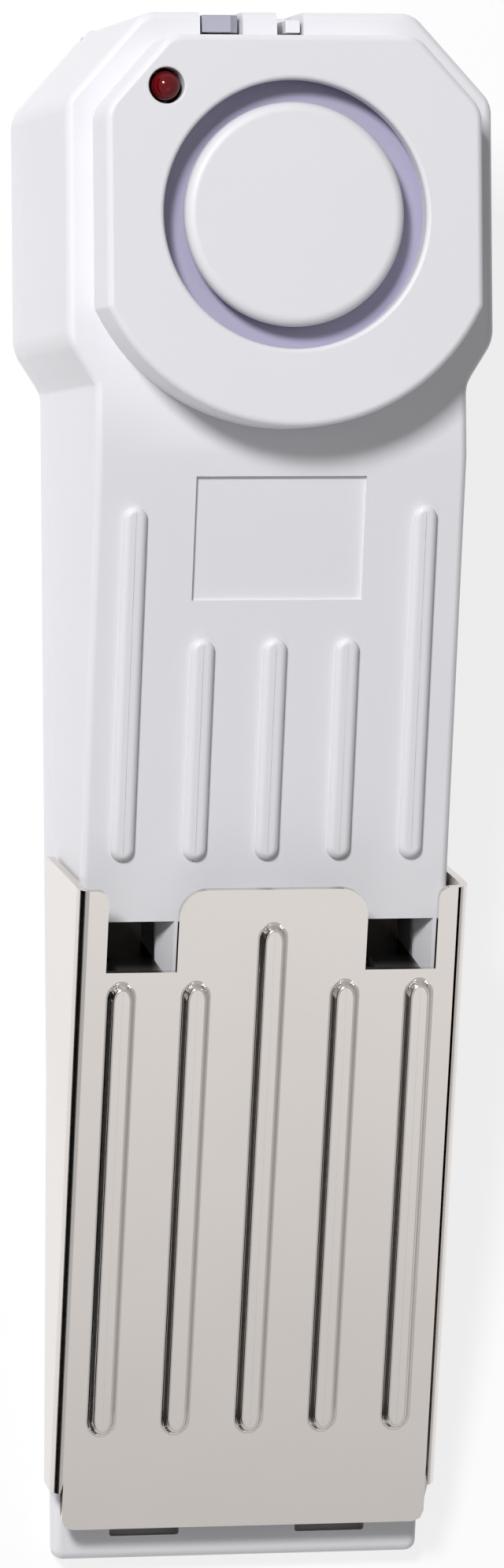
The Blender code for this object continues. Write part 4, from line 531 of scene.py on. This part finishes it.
def make_housing():
    """Both shells keep the solid model's inside and take their rounded outside from the form."""
    form = housing_form()
    lower = copied("lower_shell")
    lower_form = form.copy()
    lower_form.data = form.data.copy()
    bpy.context.scene.collection.objects.link(lower_form)
    combine(lower, lower_form, "INTERSECT")
    for side in SIDES:
        combine(lower, toe_slot_form(side), "DIFFERENCE")
    clean(lower)
    fit_out(lower, "housing", "white_abs", "lower_shell")

    combine(form, boss_form(), "UNION")
    for i in range(RIB_COUNT):
        rear_y = OUTER_RIB_REAR_Y if abs(i - MIDDLE_RIB) == MIDDLE_RIB else INNER_RIB_REAR_Y
        combine(form, rib_form((i - MIDDLE_RIB) * RIB_PITCH, rear_y), "UNION")
    upper = copied("upper_shell")
    combine(upper, form, "INTERSECT")
    for side in SIDES:
        combine(upper, guide_form(side * WELL_SIDES[0], side * GUIDE_REACH), "UNION")
        combine(upper, guide_form(side * WELL_SIDES[1], -side * GUIDE_REACH), "UNION")
    drill(upper, SIREN_OPENING_RADIUS, SIREN_RIM_RADIUS, SIREN_OPENING_BOTTOM, 0, SIREN_Y, ROUND_SIDES)
    drill(upper, LAMP_HOLE_RADIUS, LAMP_RIM_RADIUS, LAMP_HOLE_BOTTOM, LAMP_X, LAMP_Y, SMALL_ROUND_SIDES)
    fit_out(upper, "housing", "white_abs", "upper_shell")


# Pressure plate


def sheet_form():
    """The bent sheet: its top, two long bends and two wedge-shaped skirts."""
    sheet = block(
        "pressure_plate_finished",
        (-PLATE_HALF, SKIRT_START, PLATE_TOP - SKIRT_FREE_DEPTH),
        (PLATE_HALF, PLATE_REACH, PLATE_TOP),
    )
    rise = SKIRT_FREE_DEPTH - SKIRT_TOE_DEPTH
    run = PLATE_REACH - SKIRT_START
    slice_off(sheet, (0, SKIRT_START, PLATE_TOP - SKIRT_TOE_DEPTH), (0, -rise, -run))
    lean = (SKIRT_REAR_SETBACK + SKIRT_CUT_MARGIN) / (SKIRT_FREE_DEPTH - PLATE_BEND_RADIUS + OVERRUN)
    slice_off(sheet, (0, PLATE_REACH, PLATE_TOP - PLATE_BEND_RADIUS - OVERRUN), (0, 1, -lean))
    bevel(sheet, at_long_side, PLATE_BEND_RADIUS, BEND_STEPS)
    edit(sheet, "FACE", lambda f: f.normal.z < -OPEN_END or abs(f.normal.y) > OPEN_END)
    bpy.ops.mesh.delete(type="FACE")
    close_edit()
    apply_modifier(sheet, "SOLIDIFY", thickness=PLATE_THICKNESS, offset=-1, use_even_offset=True)
    return sheet


def at_long_side(edge):
    """Whether an edge is a long one of the sheet's top."""
    return runs_along(edge, 1) and near(middle(edge).z, PLATE_TOP)


def tongue_form():
    """The flat end that reaches past the skirts at the toe, with its corners cut."""
    half = PLATE_HALF - TONGUE_INSET
    low = (-half, -TONGUE_REACH, PLATE_TOP - PLATE_THICKNESS)
    tongue = block("tongue", low, (half, SKIRT_START + TONGUE_INSET, PLATE_TOP))
    bevel(tongue, lambda e: upright(e) and middle(e).y < 0, TONGUE_INSET, FINE_STEPS)
    return tongue


def plate_rib_form(x, end):
    """An embossed rib with sloping sides."""
    base = PLATE_TOP - PLATE_THICKNESS / 2
    half = PLATE_RIB_HALF_WIDTH
    rib = block("plate_rib", (x - half, PLATE_RIB_TOE, base - PLATE_RIB_ROOT), (x + half, end, base))
    bevel(rib, upright, half - SKIN, BEND_STEPS)
    edit(rib, "FACE", lambda f: f.normal.z > ALONG)
    bpy.ops.mesh.extrude_region_move(
        TRANSFORM_OT_translate={"value": (0, 0, PLATE_RIB_HEIGHT + PLATE_THICKNESS / 2)}
    )
    size = Vector((2 * half, end - PLATE_RIB_TOE))
    shrink = (1 - 2 * PLATE_RIB_SPREAD / size.x, 1 - 2 * PLATE_RIB_SPREAD / size.y, 1)
    bpy.ops.transform.resize(value=shrink, center_override=(x, (end + PLATE_RIB_TOE) / 2, 0))
    close_edit()
    bevel(rib, lambda e: top_edge(e) and middle(e).z > PLATE_TOP, PLATE_RIB_TOP_RADIUS, SOFT_STEPS)
    return rib


def hook_form(side):
    """Tab bent down into the well, with its foot."""
    x = side * HOOK_X
    rear = PLATE_REACH - NOTCH_DEPTH
    front = rear - PLATE_THICKNESS
    bottom = PLATE_TOP - HOOK_LENGTH
    low = (x - HOOK_HALF_WIDTH, front, bottom)
    hook = block("hook", low, (x + HOOK_HALF_WIDTH, rear, PLATE_TOP - SKIN))
    foot = block("foot", low, (x + HOOK_HALF_WIDTH, rear + HOOK_FOOT, bottom + PLATE_THICKNESS))
    combine(hook, foot, "UNION")
    return hook


def make_pressure_plate():
    """The plate is made flat in its own frame and then laid on the wedge."""
    plate = sheet_form()
    combine(plate, tongue_form(), "UNION")
    # Takes out the vertices where the tongue's top runs into the ends of the two bends
    edit(plate, "VERT", lambda v: near(v.co.y, SKIRT_START) and near(v.co.z, PLATE_TOP))
    bpy.ops.mesh.dissolve_verts()
    close_edit()
    for side in SIDES:
        inner, outer = sorted((side * NOTCH_INNER, side * NOTCH_OUTER))
        low = (inner, PLATE_REACH - NOTCH_DEPTH, PLATE_TOP - PLATE_THICKNESS - OVERRUN)
        high = (outer, PLATE_REACH + OVERRUN, PLATE_TOP + OVERRUN)
        combine(plate, block("notch", low, high), "DIFFERENCE")
    clean(plate)
    bevel(plate, lambda e: at_free_end(e, NOTCH_INNER), CENTRE_TAB_CORNER, DOME_STEPS)
    bevel(plate, lambda e: at_free_end(e, NOTCH_OUTER), STRIP_CORNER, ROUND_STEPS)
    for i in range(RIB_COUNT):
        end = CENTRE_RIB_END if i == MIDDLE_RIB else PLATE_RIB_END
        combine(plate, plate_rib_form((i - MIDDLE_RIB) * PLATE_RIB_PITCH, end), "UNION")
    bevel(plate, at_rib_foot, PLATE_RIB_FOOT_RADIUS, SOFT_STEPS)
    for side in SIDES:
        combine(plate, hook_form(side), "UNION")
        low = (side * TOE_TAB_X - TOE_TAB_HALF_WIDTH, -TONGUE_REACH, PLATE_TOP - TOE_TAB_LENGTH)
        high = (side * TOE_TAB_X + TOE_TAB_HALF_WIDTH, PLATE_THICKNESS - TONGUE_REACH, PLATE_TOP - SKIN)
        combine(plate, block("toe_tab", low, high), "UNION")
    clean(plate)
    plate.location = (0, HINGE_Y, HINGE_HEIGHT)
    plate.rotation_euler.x = PLATE_ANGLE
    place_in_mesh(plate)
    round_edges(plate, SHEET_EDGE_RADIUS, FINE_STEPS, SHEET_ANGLE)
    fit_out(plate, "plate", "pressed_steel", "pressure_plate")


def at_free_end(edge, x):
    """Whether an upright edge stands at the plate's free end, this far from its middle."""
    return upright(edge) and near(abs(middle(edge).x), x) and near(middle(edge).y, PLATE_REACH)


def at_rib_foot(edge):
    """Whether an edge is where a rib's side rises from the plate."""
    least, most = RIB_SIDE_SHARES
    inside = PLATE_RIB_TOE - GAP < middle(edge).y < CENTRE_RIB_END + GAP
    steep = any(least < face.normal.z < most for face in edge.link_faces)
    return inside and near(middle(edge).z, PLATE_TOP) and steep and turns(edge, CORNER_ANGLE)


# Siren, lamp and small parts


def make_siren_cap():
    """Round cap with a soft edge, on three legs."""
    bottom = BOSS_TOP - CAP_THICKNESS
    cap = disc("siren_cap_finished", CAP_RADIUS, bottom, BOSS_TOP, 0, SIREN_Y)
    bevel(cap, lambda e: near(middle(e).z, BOSS_TOP), CAP_EDGE_RADIUS, ROUND_STEPS)
    bevel(cap, lambda e: near(middle(e).z, bottom), FINE_EDGE_RADIUS, FINE_STEPS)
    for i in range(CAP_LEGS):
        turn = math.tau * i / CAP_LEGS + math.pi / 2
        x = CAP_LEG_REACH * math.cos(turn)
        y = SIREN_Y + CAP_LEG_REACH * math.sin(turn)
        leg_top = bottom + CAP_THICKNESS / 2
        leg = disc("leg", CAP_LEG_RADIUS, SIREN_DECK_TOP + GAP, leg_top, x, y, SMALL_ROUND_SIDES)
        combine(cap, leg, "UNION")
    fit_out(cap, "housing", "white_abs", "siren_cap")


def make_siren_housing():
    """The dark cup with the raised ring that is its floor under the sound gap."""
    cup = copied("siren_housing")
    low = SIREN_DECK_TOP - GAP
    high = SIREN_RING_TOP
    ring = disc("ring", SIREN_RING_OUTER, low, high, 0, SIREN_Y)
    combine(ring, disc("bore", SIREN_RING_INNER, low - OVERRUN, high + OVERRUN, 0, SIREN_Y), "DIFFERENCE")
    combine(cup, ring, "UNION")
    clean(cup)
    fit_out(cup, "housing", "dark_plastic", "siren_housing")


def make_lamp():
    """Clear red lamp with its dome, flange and legs."""
    place = (LAMP_X, LAMP_Y)
    lamp = disc("status_lamp_finished", LAMP_RADIUS, LAMP_BOTTOM, LAMP_TOP, *place, SMALL_ROUND_SIDES)
    bevel(lamp, lambda e: near(middle(e).z, LAMP_TOP), LAMP_RADIUS - SKIN, DOME_STEPS)
    flange_top = LAMP_BOTTOM + LAMP_FLANGE_THICKNESS
    flange = disc("flange", LAMP_FLANGE_RADIUS, LAMP_BOTTOM, flange_top, *place, SMALL_ROUND_SIDES)
    combine(lamp, flange, "UNION")
    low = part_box("status_lamp")[0].z
    for side in SIDES:
        x = LAMP_X + side * LAMP_LEG_SPACING / 2
        combine(lamp, disc("leg", LAMP_LEG_RADIUS, low, LAMP_BOTTOM + GAP, x, LAMP_Y, LEG_SIDES), "UNION")
    fit_out(lamp, "housing", "red_lens", "status_lamp")


def make_softened(node, body, slot, width, steps=FINE_STEPS):
    """A solid of the frame with its edges rounded."""
    obj = copied(node)
    round_edges(obj, width, steps, BEVEL_ANGLE)
    fit_out(obj, body, slot, node)


def make_small_parts():
    """Parts whose solids need no more than softer edges."""
    make_softened("battery_door", "door", "white_abs", SMALL_EDGE_RADIUS)
    make_softened("power_knob", "power_slider", "grey_plastic", SMALL_EDGE_RADIUS, SMALL_STEPS)
    make_softened("sensitivity_knob", "sensitivity_slider", "white_abs", SMALL_EDGE_RADIUS, SMALL_STEPS)
    for place in ("front_left", "front_right", "rear_left", "rear_right"):
        make_softened(f"housing_screw_{place}", "housing", "zinc_steel", FINE_EDGE_RADIUS)
    for pad in ("front_pad", "rear_pad_left", "rear_pad_right"):
        make_softened(pad, "housing", "rubber", SMALL_EDGE_RADIUS)
    make_softened("battery_9v", "housing", "battery_sleeve", SMALL_EDGE_RADIUS)


def make_plate_springs():
    """The two springs under the plate, each copied from the frame with a mesh of its own."""
    for side in ("left", "right"):
        node = f"plate_spring_{side}"
        spring = copied(node)
        fit_out(spring, "housing", "zinc_steel", node)
        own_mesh(spring)


# Materials

# The sRGB curve: straight up to its knee, then a power
SRGB_KNEE = 0.04045
SRGB_SLOPE = 12.92
SRGB_OFFSET = 0.055
SRGB_POWER = 2.4
BYTE_MAX = 255

# A colour mix's sockets share their names with those of other kinds, so they go by number
MIX_FIRST = 6
MIX_SECOND = 7
MIX_RESULT = 2

DRIFT_DETAIL = 3.0
GRAIN_DETAIL = 4.0
WHITE = "ffffff"
# Dark steel tone painted on the plate's hooks as the shade inside their wells
HOOK_SHADE_TONE = "423e3b"


def linear(hex_text):
    """An sRGB hex value as linear colour."""
    channels = []
    for byte in bytes.fromhex(hex_text):
        value = byte / BYTE_MAX
        curved = ((value + SRGB_OFFSET) / (1 + SRGB_OFFSET)) ** SRGB_POWER
        channels.append(value / SRGB_SLOPE if value <= SRGB_KNEE else curved)
    return (*channels, 1)


def add_node(tree, kind, settings, links=None):
    """Adds a node, sets its properties and its free inputs, and links the others."""
    node = tree.nodes.new(kind)
    for name, value in settings.items():
        if isinstance(name, int) or name in node.inputs:
            node.inputs[name].default_value = value
        else:
            setattr(node, name, value)
    for name, output in (links or {}).items():
        tree.links.new(output, node.inputs[name])
    return node


def new_material(name):
    """An empty material with its output."""
    material = bpy.data.materials.new(name)
    material.use_nodes = True
    material.node_tree.nodes.clear()
    return material, material.node_tree, material.node_tree.nodes.new("ShaderNodeOutputMaterial")


def grained(name, tones, patch, grain, depth, roughness, shader):
    """A surface whose colour drifts between two tones over a patch, with a grain in its bump and gloss."""
    material, tree, output = new_material(name)
    place = {"Vector": add_node(tree, "ShaderNodeTexCoord", {}).outputs["Object"]}
    drift = add_node(tree, "ShaderNodeTexNoise", {"Scale": 1 / patch, "Detail": DRIFT_DETAIL}, place)
    tone = add_node(
        tree,
        "ShaderNodeMix",
        {"data_type": "RGBA", MIX_FIRST: linear(tones[0]), MIX_SECOND: linear(tones[1])},
        {0: drift.outputs["Fac"]},
    )
    fine = add_node(tree, "ShaderNodeTexNoise", {"Scale": 1 / grain, "Detail": GRAIN_DETAIL}, place)
    gloss = add_node(
        tree,
        "ShaderNodeMapRange",
        {"To Min": roughness[0], "To Max": roughness[1]},
        {"Value": fine.outputs["Fac"]},
    )
    height = {"Height": fine.outputs["Fac"]}
    bump = add_node(tree, "ShaderNodeBump", {"Strength": 1.0, "Distance": depth}, height)
    surface = add_node(
        tree,
        "ShaderNodeBsdfPrincipled",
        shader,
        {"Base Color": tone.outputs[MIX_RESULT], "Roughness": gloss.outputs[0], "Normal": bump.outputs[0]},
    )
    tree.links.new(surface.outputs[0], output.inputs["Surface"])
    return material


def paint_hook_shade(material):
    """Paints shade on the plate's hooks: their steel is darkened the further down into the wells it
    reaches, where shade falls.
    """
    tree = material.node_tree
    shader = tree.nodes["Principled BSDF"]
    unshaded_tone = shader.inputs["Base Color"].links[0].from_socket
    place = tree.nodes["Texture Coordinate"].outputs["Object"]
    up = (0, -math.sin(PLATE_ANGLE), math.cos(PLATE_ANGLE))
    height = add_node(tree, "ShaderNodeVectorMath", {"operation": "DOT_PRODUCT", 1: up}, {0: place})
    top = Vector(up).dot((0, HINGE_Y, HINGE_HEIGHT)) + PLATE_TOP
    below = add_node(
        tree,
        "ShaderNodeMapRange",
        {"From Min": top - HOOK_SHADE_DEPTH, "From Max": top - PLATE_THICKNESS, "To Min": 1.0, "To Max": 0.0},
        {"Value": height.outputs["Value"]},
    )
    x = add_node(tree, "ShaderNodeSeparateXYZ", {}, {0: place}).outputs["X"]
    across = add_node(tree, "ShaderNodeMath", {"operation": "ABSOLUTE"}, {0: x})
    between = add_node(
        tree, "ShaderNodeMath", {"operation": "LESS_THAN", 1: NOTCH_OUTER}, {0: across.outputs[0]}
    )
    both = {0: below.outputs[0], 1: between.outputs[0]}
    share = add_node(tree, "ShaderNodeMath", {"operation": "MULTIPLY"}, both)
    # Painted shade: the hooks' steel darkens below the plate's top, within the notches
    tone = add_node(
        tree,
        "ShaderNodeMix",
        {"data_type": "RGBA", MIX_SECOND: linear(HOOK_SHADE_TONE)},
        {0: share.outputs[0], MIX_FIRST: unshaded_tone},
    )
    tree.links.new(tone.outputs[MIX_RESULT], shader.inputs["Base Color"])


# One finish for each slot of the record: its two tones, the patch over which they drift, its grain and the
# grain's depth, how rough it is, and what its shader needs besides. A grain that is too fine to show is
# drawn coarser than it is.
FINISHES = {
    # ABS, injection moulded in a finely spark-eroded tool: satin, cool white, with a faint grain
    "white_abs": {
        "name": "moulded_white_abs",
        "tones": ("e6e6ea", "e3e3e8"),
        "patch": 12 * MM,
        "grain": 0.35 * MM,
        "depth": 0.006 * MM,
        "roughness": (0.42, 0.52),
        "shader": {"IOR": 1.53},
    },
    # Cold-rolled steel, pressed and nickel plated: warm grey mirror softened by the rolling grain
    "pressed_steel": {
        "name": "pressed_plated_steel",
        "tones": ("e4deda", "ddd7d2"),
        "patch": 15 * MM,
        "grain": 0.5 * MM,
        "depth": 0.0015 * MM,
        "roughness": (0.14, 0.2),
        "shader": {"Metallic": 1.0},
    },
    # ABS tinted violet grey, moulded in a polished tool: dark where the sound gap shades it
    "dark_plastic": {
        "name": "polished_violet_grey_abs",
        "tones": ("bab6d0", "b3afc9"),
        "patch": 8 * MM,
        "grain": 0.4 * MM,
        "depth": 0.002 * MM,
        "roughness": (0.18, 0.26),
        "shader": {"IOR": 1.53},
    },
    # Acetal of the slide knobs, injection moulded: grey and satin
    "grey_plastic": {
        "name": "moulded_grey_acetal",
        "tones": ("afafbe", "a8a8b6"),
        "patch": 4 * MM,
        "grain": 0.3 * MM,
        "depth": 0.003 * MM,
        "roughness": (0.35, 0.45),
        "shader": {"IOR": 1.48},
    },
    # Nylon of the switch and the moulded parts inside: nearly black and dull
    "black_plastic": {
        "name": "moulded_black_nylon",
        "tones": ("17171a", "1d1d20"),
        "patch": 4 * MM,
        "grain": 0.3 * MM,
        "depth": 0.004 * MM,
        "roughness": (0.4, 0.55),
        "shader": {"IOR": 1.53},
    },
    # Epoxy cast round the lamp's chip: clear red
    "red_lens": {
        "name": "cast_red_epoxy",
        "tones": ("7c0610", "66050c"),
        "patch": 2 * MM,
        "grain": 0.4 * MM,
        "depth": 0.001 * MM,
        "roughness": (0.04, 0.08),
        "shader": {"IOR": 1.56, "Transmission Weight": 0.25, "Specular IOR Level": 0.2},
    },
    # Solder mask over glass fibre laminate: deep green with an uneven shine
    "board_green": {
        "name": "solder_masked_laminate",
        "tones": ("1f6b3c", "185a31"),
        "patch": 3 * MM,
        "grain": 0.25 * MM,
        "depth": 0.006 * MM,
        "roughness": (0.3, 0.45),
        "shader": {"IOR": 1.55},
    },
    # Rolled brass of the sounding disc and the terminals: warm, with a soft mirror
    "brass": {
        "name": "rolled_brass",
        "tones": ("c8a75a", "bd9a4d"),
        "patch": 5 * MM,
        "grain": 0.3 * MM,
        "depth": 0.002 * MM,
        "roughness": (0.22, 0.32),
        "shader": {"Metallic": 1.0},
    },
    # Fired piezo ceramic with its baked silver coat: pale and matt
    "ceramic": {
        "name": "silvered_piezo_ceramic",
        "tones": ("dcdad2", "d0cdc4"),
        "patch": 3 * MM,
        "grain": 0.2 * MM,
        "depth": 0.003 * MM,
        "roughness": (0.4, 0.5),
        "shader": {"IOR": 1.6},
    },
    # Enamelled copper wire, wound in layers: reddish, with its shine broken up by the turns
    "copper_wire": {
        "name": "enamelled_copper_winding",
        "tones": ("b4602f", "9c4f25"),
        "patch": 2 * MM,
        "grain": 0.2 * MM,
        "depth": 0.02 * MM,
        "roughness": (0.25, 0.35),
        "shader": {"Metallic": 0.9},
    },
    # Zinc plated steel of the screws, springs and switch frames: cool grey, half bright
    "zinc_steel": {
        "name": "zinc_plated_steel",
        "tones": ("b9bcc0", "aeb2b8"),
        "patch": 3 * MM,
        "grain": 0.25 * MM,
        "depth": 0.003 * MM,
        "roughness": (0.25, 0.38),
        "shader": {"Metallic": 1.0},
    },
    # Plastic sleeve shrunk round the battery and the capacitor, left plain: dark blue with a soft shine
    "battery_sleeve": {
        "name": "plain_battery_sleeve",
        "tones": ("2b3a55", "27354e"),
        "patch": 10 * MM,
        "grain": 0.4 * MM,
        "depth": 0.002 * MM,
        "roughness": (0.25, 0.35),
        "shader": {"IOR": 1.5},
    },
    # Baked lacquer of the resistors: tan and satin
    "resistor_body": {
        "name": "baked_tan_lacquer",
        "tones": ("c9a877", "bd9a68"),
        "patch": 2 * MM,
        "grain": 0.25 * MM,
        "depth": 0.004 * MM,
        "roughness": (0.35, 0.45),
        "shader": {"IOR": 1.5},
    },
    # Extruded PVC insulation of the wires, in three colours: smooth, with a low sheen
    "red_wire": {
        "name": "red_pvc_insulation",
        "tones": ("b3202a", "a51c25"),
        "patch": 3 * MM,
        "grain": 0.25 * MM,
        "depth": 0.003 * MM,
        "roughness": (0.35, 0.5),
        "shader": {"IOR": 1.53},
    },
    "black_wire": {
        "name": "black_pvc_insulation",
        "tones": ("1b1b1d", "222225"),
        "patch": 3 * MM,
        "grain": 0.25 * MM,
        "depth": 0.003 * MM,
        "roughness": (0.35, 0.5),
        "shader": {"IOR": 1.53},
    },
    "yellow_wire": {
        "name": "yellow_pvc_insulation",
        "tones": ("d8b32a", "cba623"),
        "patch": 3 * MM,
        "grain": 0.25 * MM,
        "depth": 0.003 * MM,
        "roughness": (0.35, 0.5),
        "shader": {"IOR": 1.53},
    },
    # Die-cut closed-cell rubber of the pads: nearly black, coarse and without shine
    "rubber": {
        "name": "die_cut_black_rubber",
        "tones": ("2a2a2c", "212123"),
        "patch": 3 * MM,
        "grain": 0.4 * MM,
        "depth": 0.03 * MM,
        "roughness": (0.75, 0.9),
        "shader": {"IOR": 1.52},
    },
}


def make_materials():
    """Every slot's material, with shade painted on the plate's steel where its hooks reach down into the
    wells.
    """
    made = {slot: grained(**finish) for slot, finish in FINISHES.items()}
    paint_hook_shade(made["pressed_steel"])
    return made


def dress_solids():
    """Gives every solid the material of its slot, which its material is named for in the frame."""
    for solid in frame["nodes"].values():
        slot = solid.data.materials[0].name.split(".")[0]
        solid.data.materials.clear()
        solid.data.materials.append(MATERIALS[slot])


# Stage, in metres and watts

FLOOR_SIZE = 6.0
FLOOR_TONE = "fafafa"
FLOOR_GLOW_SHARE = 0.8  # of the floor's own white, over what light and shadow give it
KEY_PLACE = (-0.64, 0.67, 1.21)
KEY_SIZE = 0.3
KEY_POWER = 19.3
FILL_PLACE = (-0.35, -0.85, 0.45)
FILL_SIZE = 0.6
FILL_POWER = 1.3
WORLD_LEVEL = 0.2
GLOSS_LEVEL = 0.55
BRIGHT_CARD_PLACE = (0.2, -0.52, 0.8)
BRIGHT_CARD_SIZE = 0.56
BRIGHT_CARD_LEVELS = (0.62, 1.0)
BRIGHT_CARD_FADE = (-0.68, -0.48)  # from its dim end to its bright end, along Y
CARD_TONE = "050505"
CARD_X = -110 * MM
CARD_LENGTH = 400 * MM
CARD_HEIGHT = 85 * MM


def make_floor():
    """Plain pale floor that keeps the shadow."""
    bpy.ops.object.select_all(action="DESELECT")
    bpy.ops.mesh.primitive_plane_add(size=FLOOR_SIZE)
    floor = bpy.context.object
    floor.name = "floor"
    material, tree, output = new_material("matt_white_floor")
    paint = add_node(tree, "ShaderNodeBsdfDiffuse", {"Color": linear(FLOOR_TONE)})
    glow = add_node(tree, "ShaderNodeEmission", {"Color": linear(WHITE), "Strength": 1.0})
    path = add_node(tree, "ShaderNodeLightPath", {})
    either = {0: path.outputs["Is Camera Ray"], 1: path.outputs["Is Glossy Ray"]}
    seen = add_node(tree, "ShaderNodeMath", {"operation": "MAXIMUM"}, either)
    share = add_node(
        tree, "ShaderNodeMath", {"operation": "MULTIPLY", 1: FLOOR_GLOW_SHARE}, {0: seen.outputs[0]}
    )
    blend = {0: share.outputs[0], 1: paint.outputs[0], 2: glow.outputs[0]}
    mix = add_node(tree, "ShaderNodeMixShader", {}, blend)
    tree.links.new(mix.outputs[0], output.inputs["Surface"])
    floor.data.materials.append(material)


def make_card():
    """Dark card beside the left skirt, seen only in reflections, as a studio uses to edge bright metal."""
    bpy.ops.object.select_all(action="DESELECT")
    bpy.ops.mesh.primitive_plane_add(size=UNIT)
    card = bpy.context.object
    card.name = "dark_card"
    card.scale = (CARD_HEIGHT, CARD_LENGTH, 1)
    card.rotation_euler.y = math.pi / 2
    card.location = (CARD_X, 0, CARD_HEIGHT / 2)
    place_in_mesh(card)
    material, tree, output = new_material("black_card")
    paint = add_node(tree, "ShaderNodeBsdfDiffuse", {"Color": linear(CARD_TONE)})
    tree.links.new(paint.outputs[0], output.inputs["Surface"])
    card.data.materials.append(material)
    hide_but_for_gloss(card)


def hide_but_for_gloss(obj):
    """Keeps a card out of the picture and out of the light, so that it only shows in reflections."""
    obj.visible_camera = False
    obj.visible_diffuse = False
    obj.visible_transmission = False
    obj.visible_volume_scatter = False
    obj.visible_shadow = False


def make_bright_card():
    """White card over the toe, dimmer away from the object, that brightens the plate's free end."""
    bpy.ops.object.select_all(action="DESELECT")
    bpy.ops.mesh.primitive_plane_add(size=BRIGHT_CARD_SIZE, location=BRIGHT_CARD_PLACE)
    card = bpy.context.object
    card.name = "bright_card"
    place_in_mesh(card)
    material, tree, output = new_material("white_card")
    place = add_node(tree, "ShaderNodeTexCoord", {}).outputs["Object"]
    along = add_node(tree, "ShaderNodeSeparateXYZ", {}, {0: place}).outputs["Y"]
    level = add_node(
        tree,
        "ShaderNodeMapRange",
        {
            "From Min": BRIGHT_CARD_FADE[0],
            "From Max": BRIGHT_CARD_FADE[1],
            "To Min": BRIGHT_CARD_LEVELS[0],
            "To Max": BRIGHT_CARD_LEVELS[1],
        },
        {"Value": along},
    )
    glow = add_node(tree, "ShaderNodeEmission", {"Color": linear(WHITE)}, {"Strength": level.outputs[0]})
    tree.links.new(glow.outputs[0], output.inputs["Surface"])
    card.data.materials.append(material)
    hide_but_for_gloss(card)


def add_softbox(name, place, size, power, in_gloss):
    """A square lamp that faces the object."""
    light = bpy.data.lights.new(name, "AREA")
    light.shape = "SQUARE"
    light.size = size
    light.energy = power
    obj = bpy.data.objects.new(name, light)
    obj.location = place
    obj.rotation_euler = (-Vector(place)).to_track_quat("-Z", "Y").to_euler()
    obj.visible_glossy = in_gloss
    bpy.context.scene.collection.objects.link(obj)


def make_world():
    """Even light on the object, a brighter grey in its gloss, and white to the camera."""
    world = bpy.data.worlds.new("studio")
    bpy.context.scene.world = world
    world.use_nodes = True
    tree = world.node_tree
    tree.nodes.clear()
    path = add_node(tree, "ShaderNodeLightPath", {})
    either = {0: path.outputs["Is Glossy Ray"], 1: path.outputs["Is Transmission Ray"]}
    gloss = add_node(tree, "ShaderNodeMath", {"operation": "MAXIMUM"}, either)
    levels = {"To Min": WORLD_LEVEL, "To Max": GLOSS_LEVEL}
    level = add_node(tree, "ShaderNodeMapRange", levels, {"Value": gloss.outputs[0]})
    brightest = {0: level.outputs[0], 1: path.outputs["Is Camera Ray"]}
    seen = add_node(tree, "ShaderNodeMath", {"operation": "MAXIMUM"}, brightest)
    sky = add_node(tree, "ShaderNodeBackground", {"Color": linear(WHITE)}, {"Strength": seen.outputs[0]})
    add_node(tree, "ShaderNodeOutputWorld", {}, {"Surface": sky.outputs[0]})


def make_camera():
    """The photograph's view: from above, tipped a little to the left."""
    data = bpy.data.cameras.new("camera")
    data.lens = CAMERA_LENS
    data.sensor_width = SENSOR_SIZE
    data.clip_end = CAMERA_CLIP
    camera = bpy.data.objects.new("camera", data)
    turn = CAMERA_TURN.to_matrix().transposed()
    place = CAMERA_AIM + turn @ Vector((0, 0, CAMERA_DISTANCE))
    camera.matrix_world = Matrix.Translation(place) @ turn.to_4x4()
    bpy.context.scene.collection.objects.link(camera)
    bpy.context.scene.camera = camera


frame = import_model()
MATERIALS = make_materials()
make_camera()
make_world()
make_floor()
make_card()
add_softbox("key_softbox", KEY_PLACE, KEY_SIZE, KEY_POWER, True)
add_softbox("fill_softbox", FILL_PLACE, FILL_SIZE, FILL_POWER, False)
make_bright_card()
dress_solids()
make_housing()
make_pressure_plate()
make_siren_cap()
make_siren_housing()
make_plate_springs()
make_lamp()
make_small_parts()
bpy.context.scene.view_settings.view_transform = "Standard"
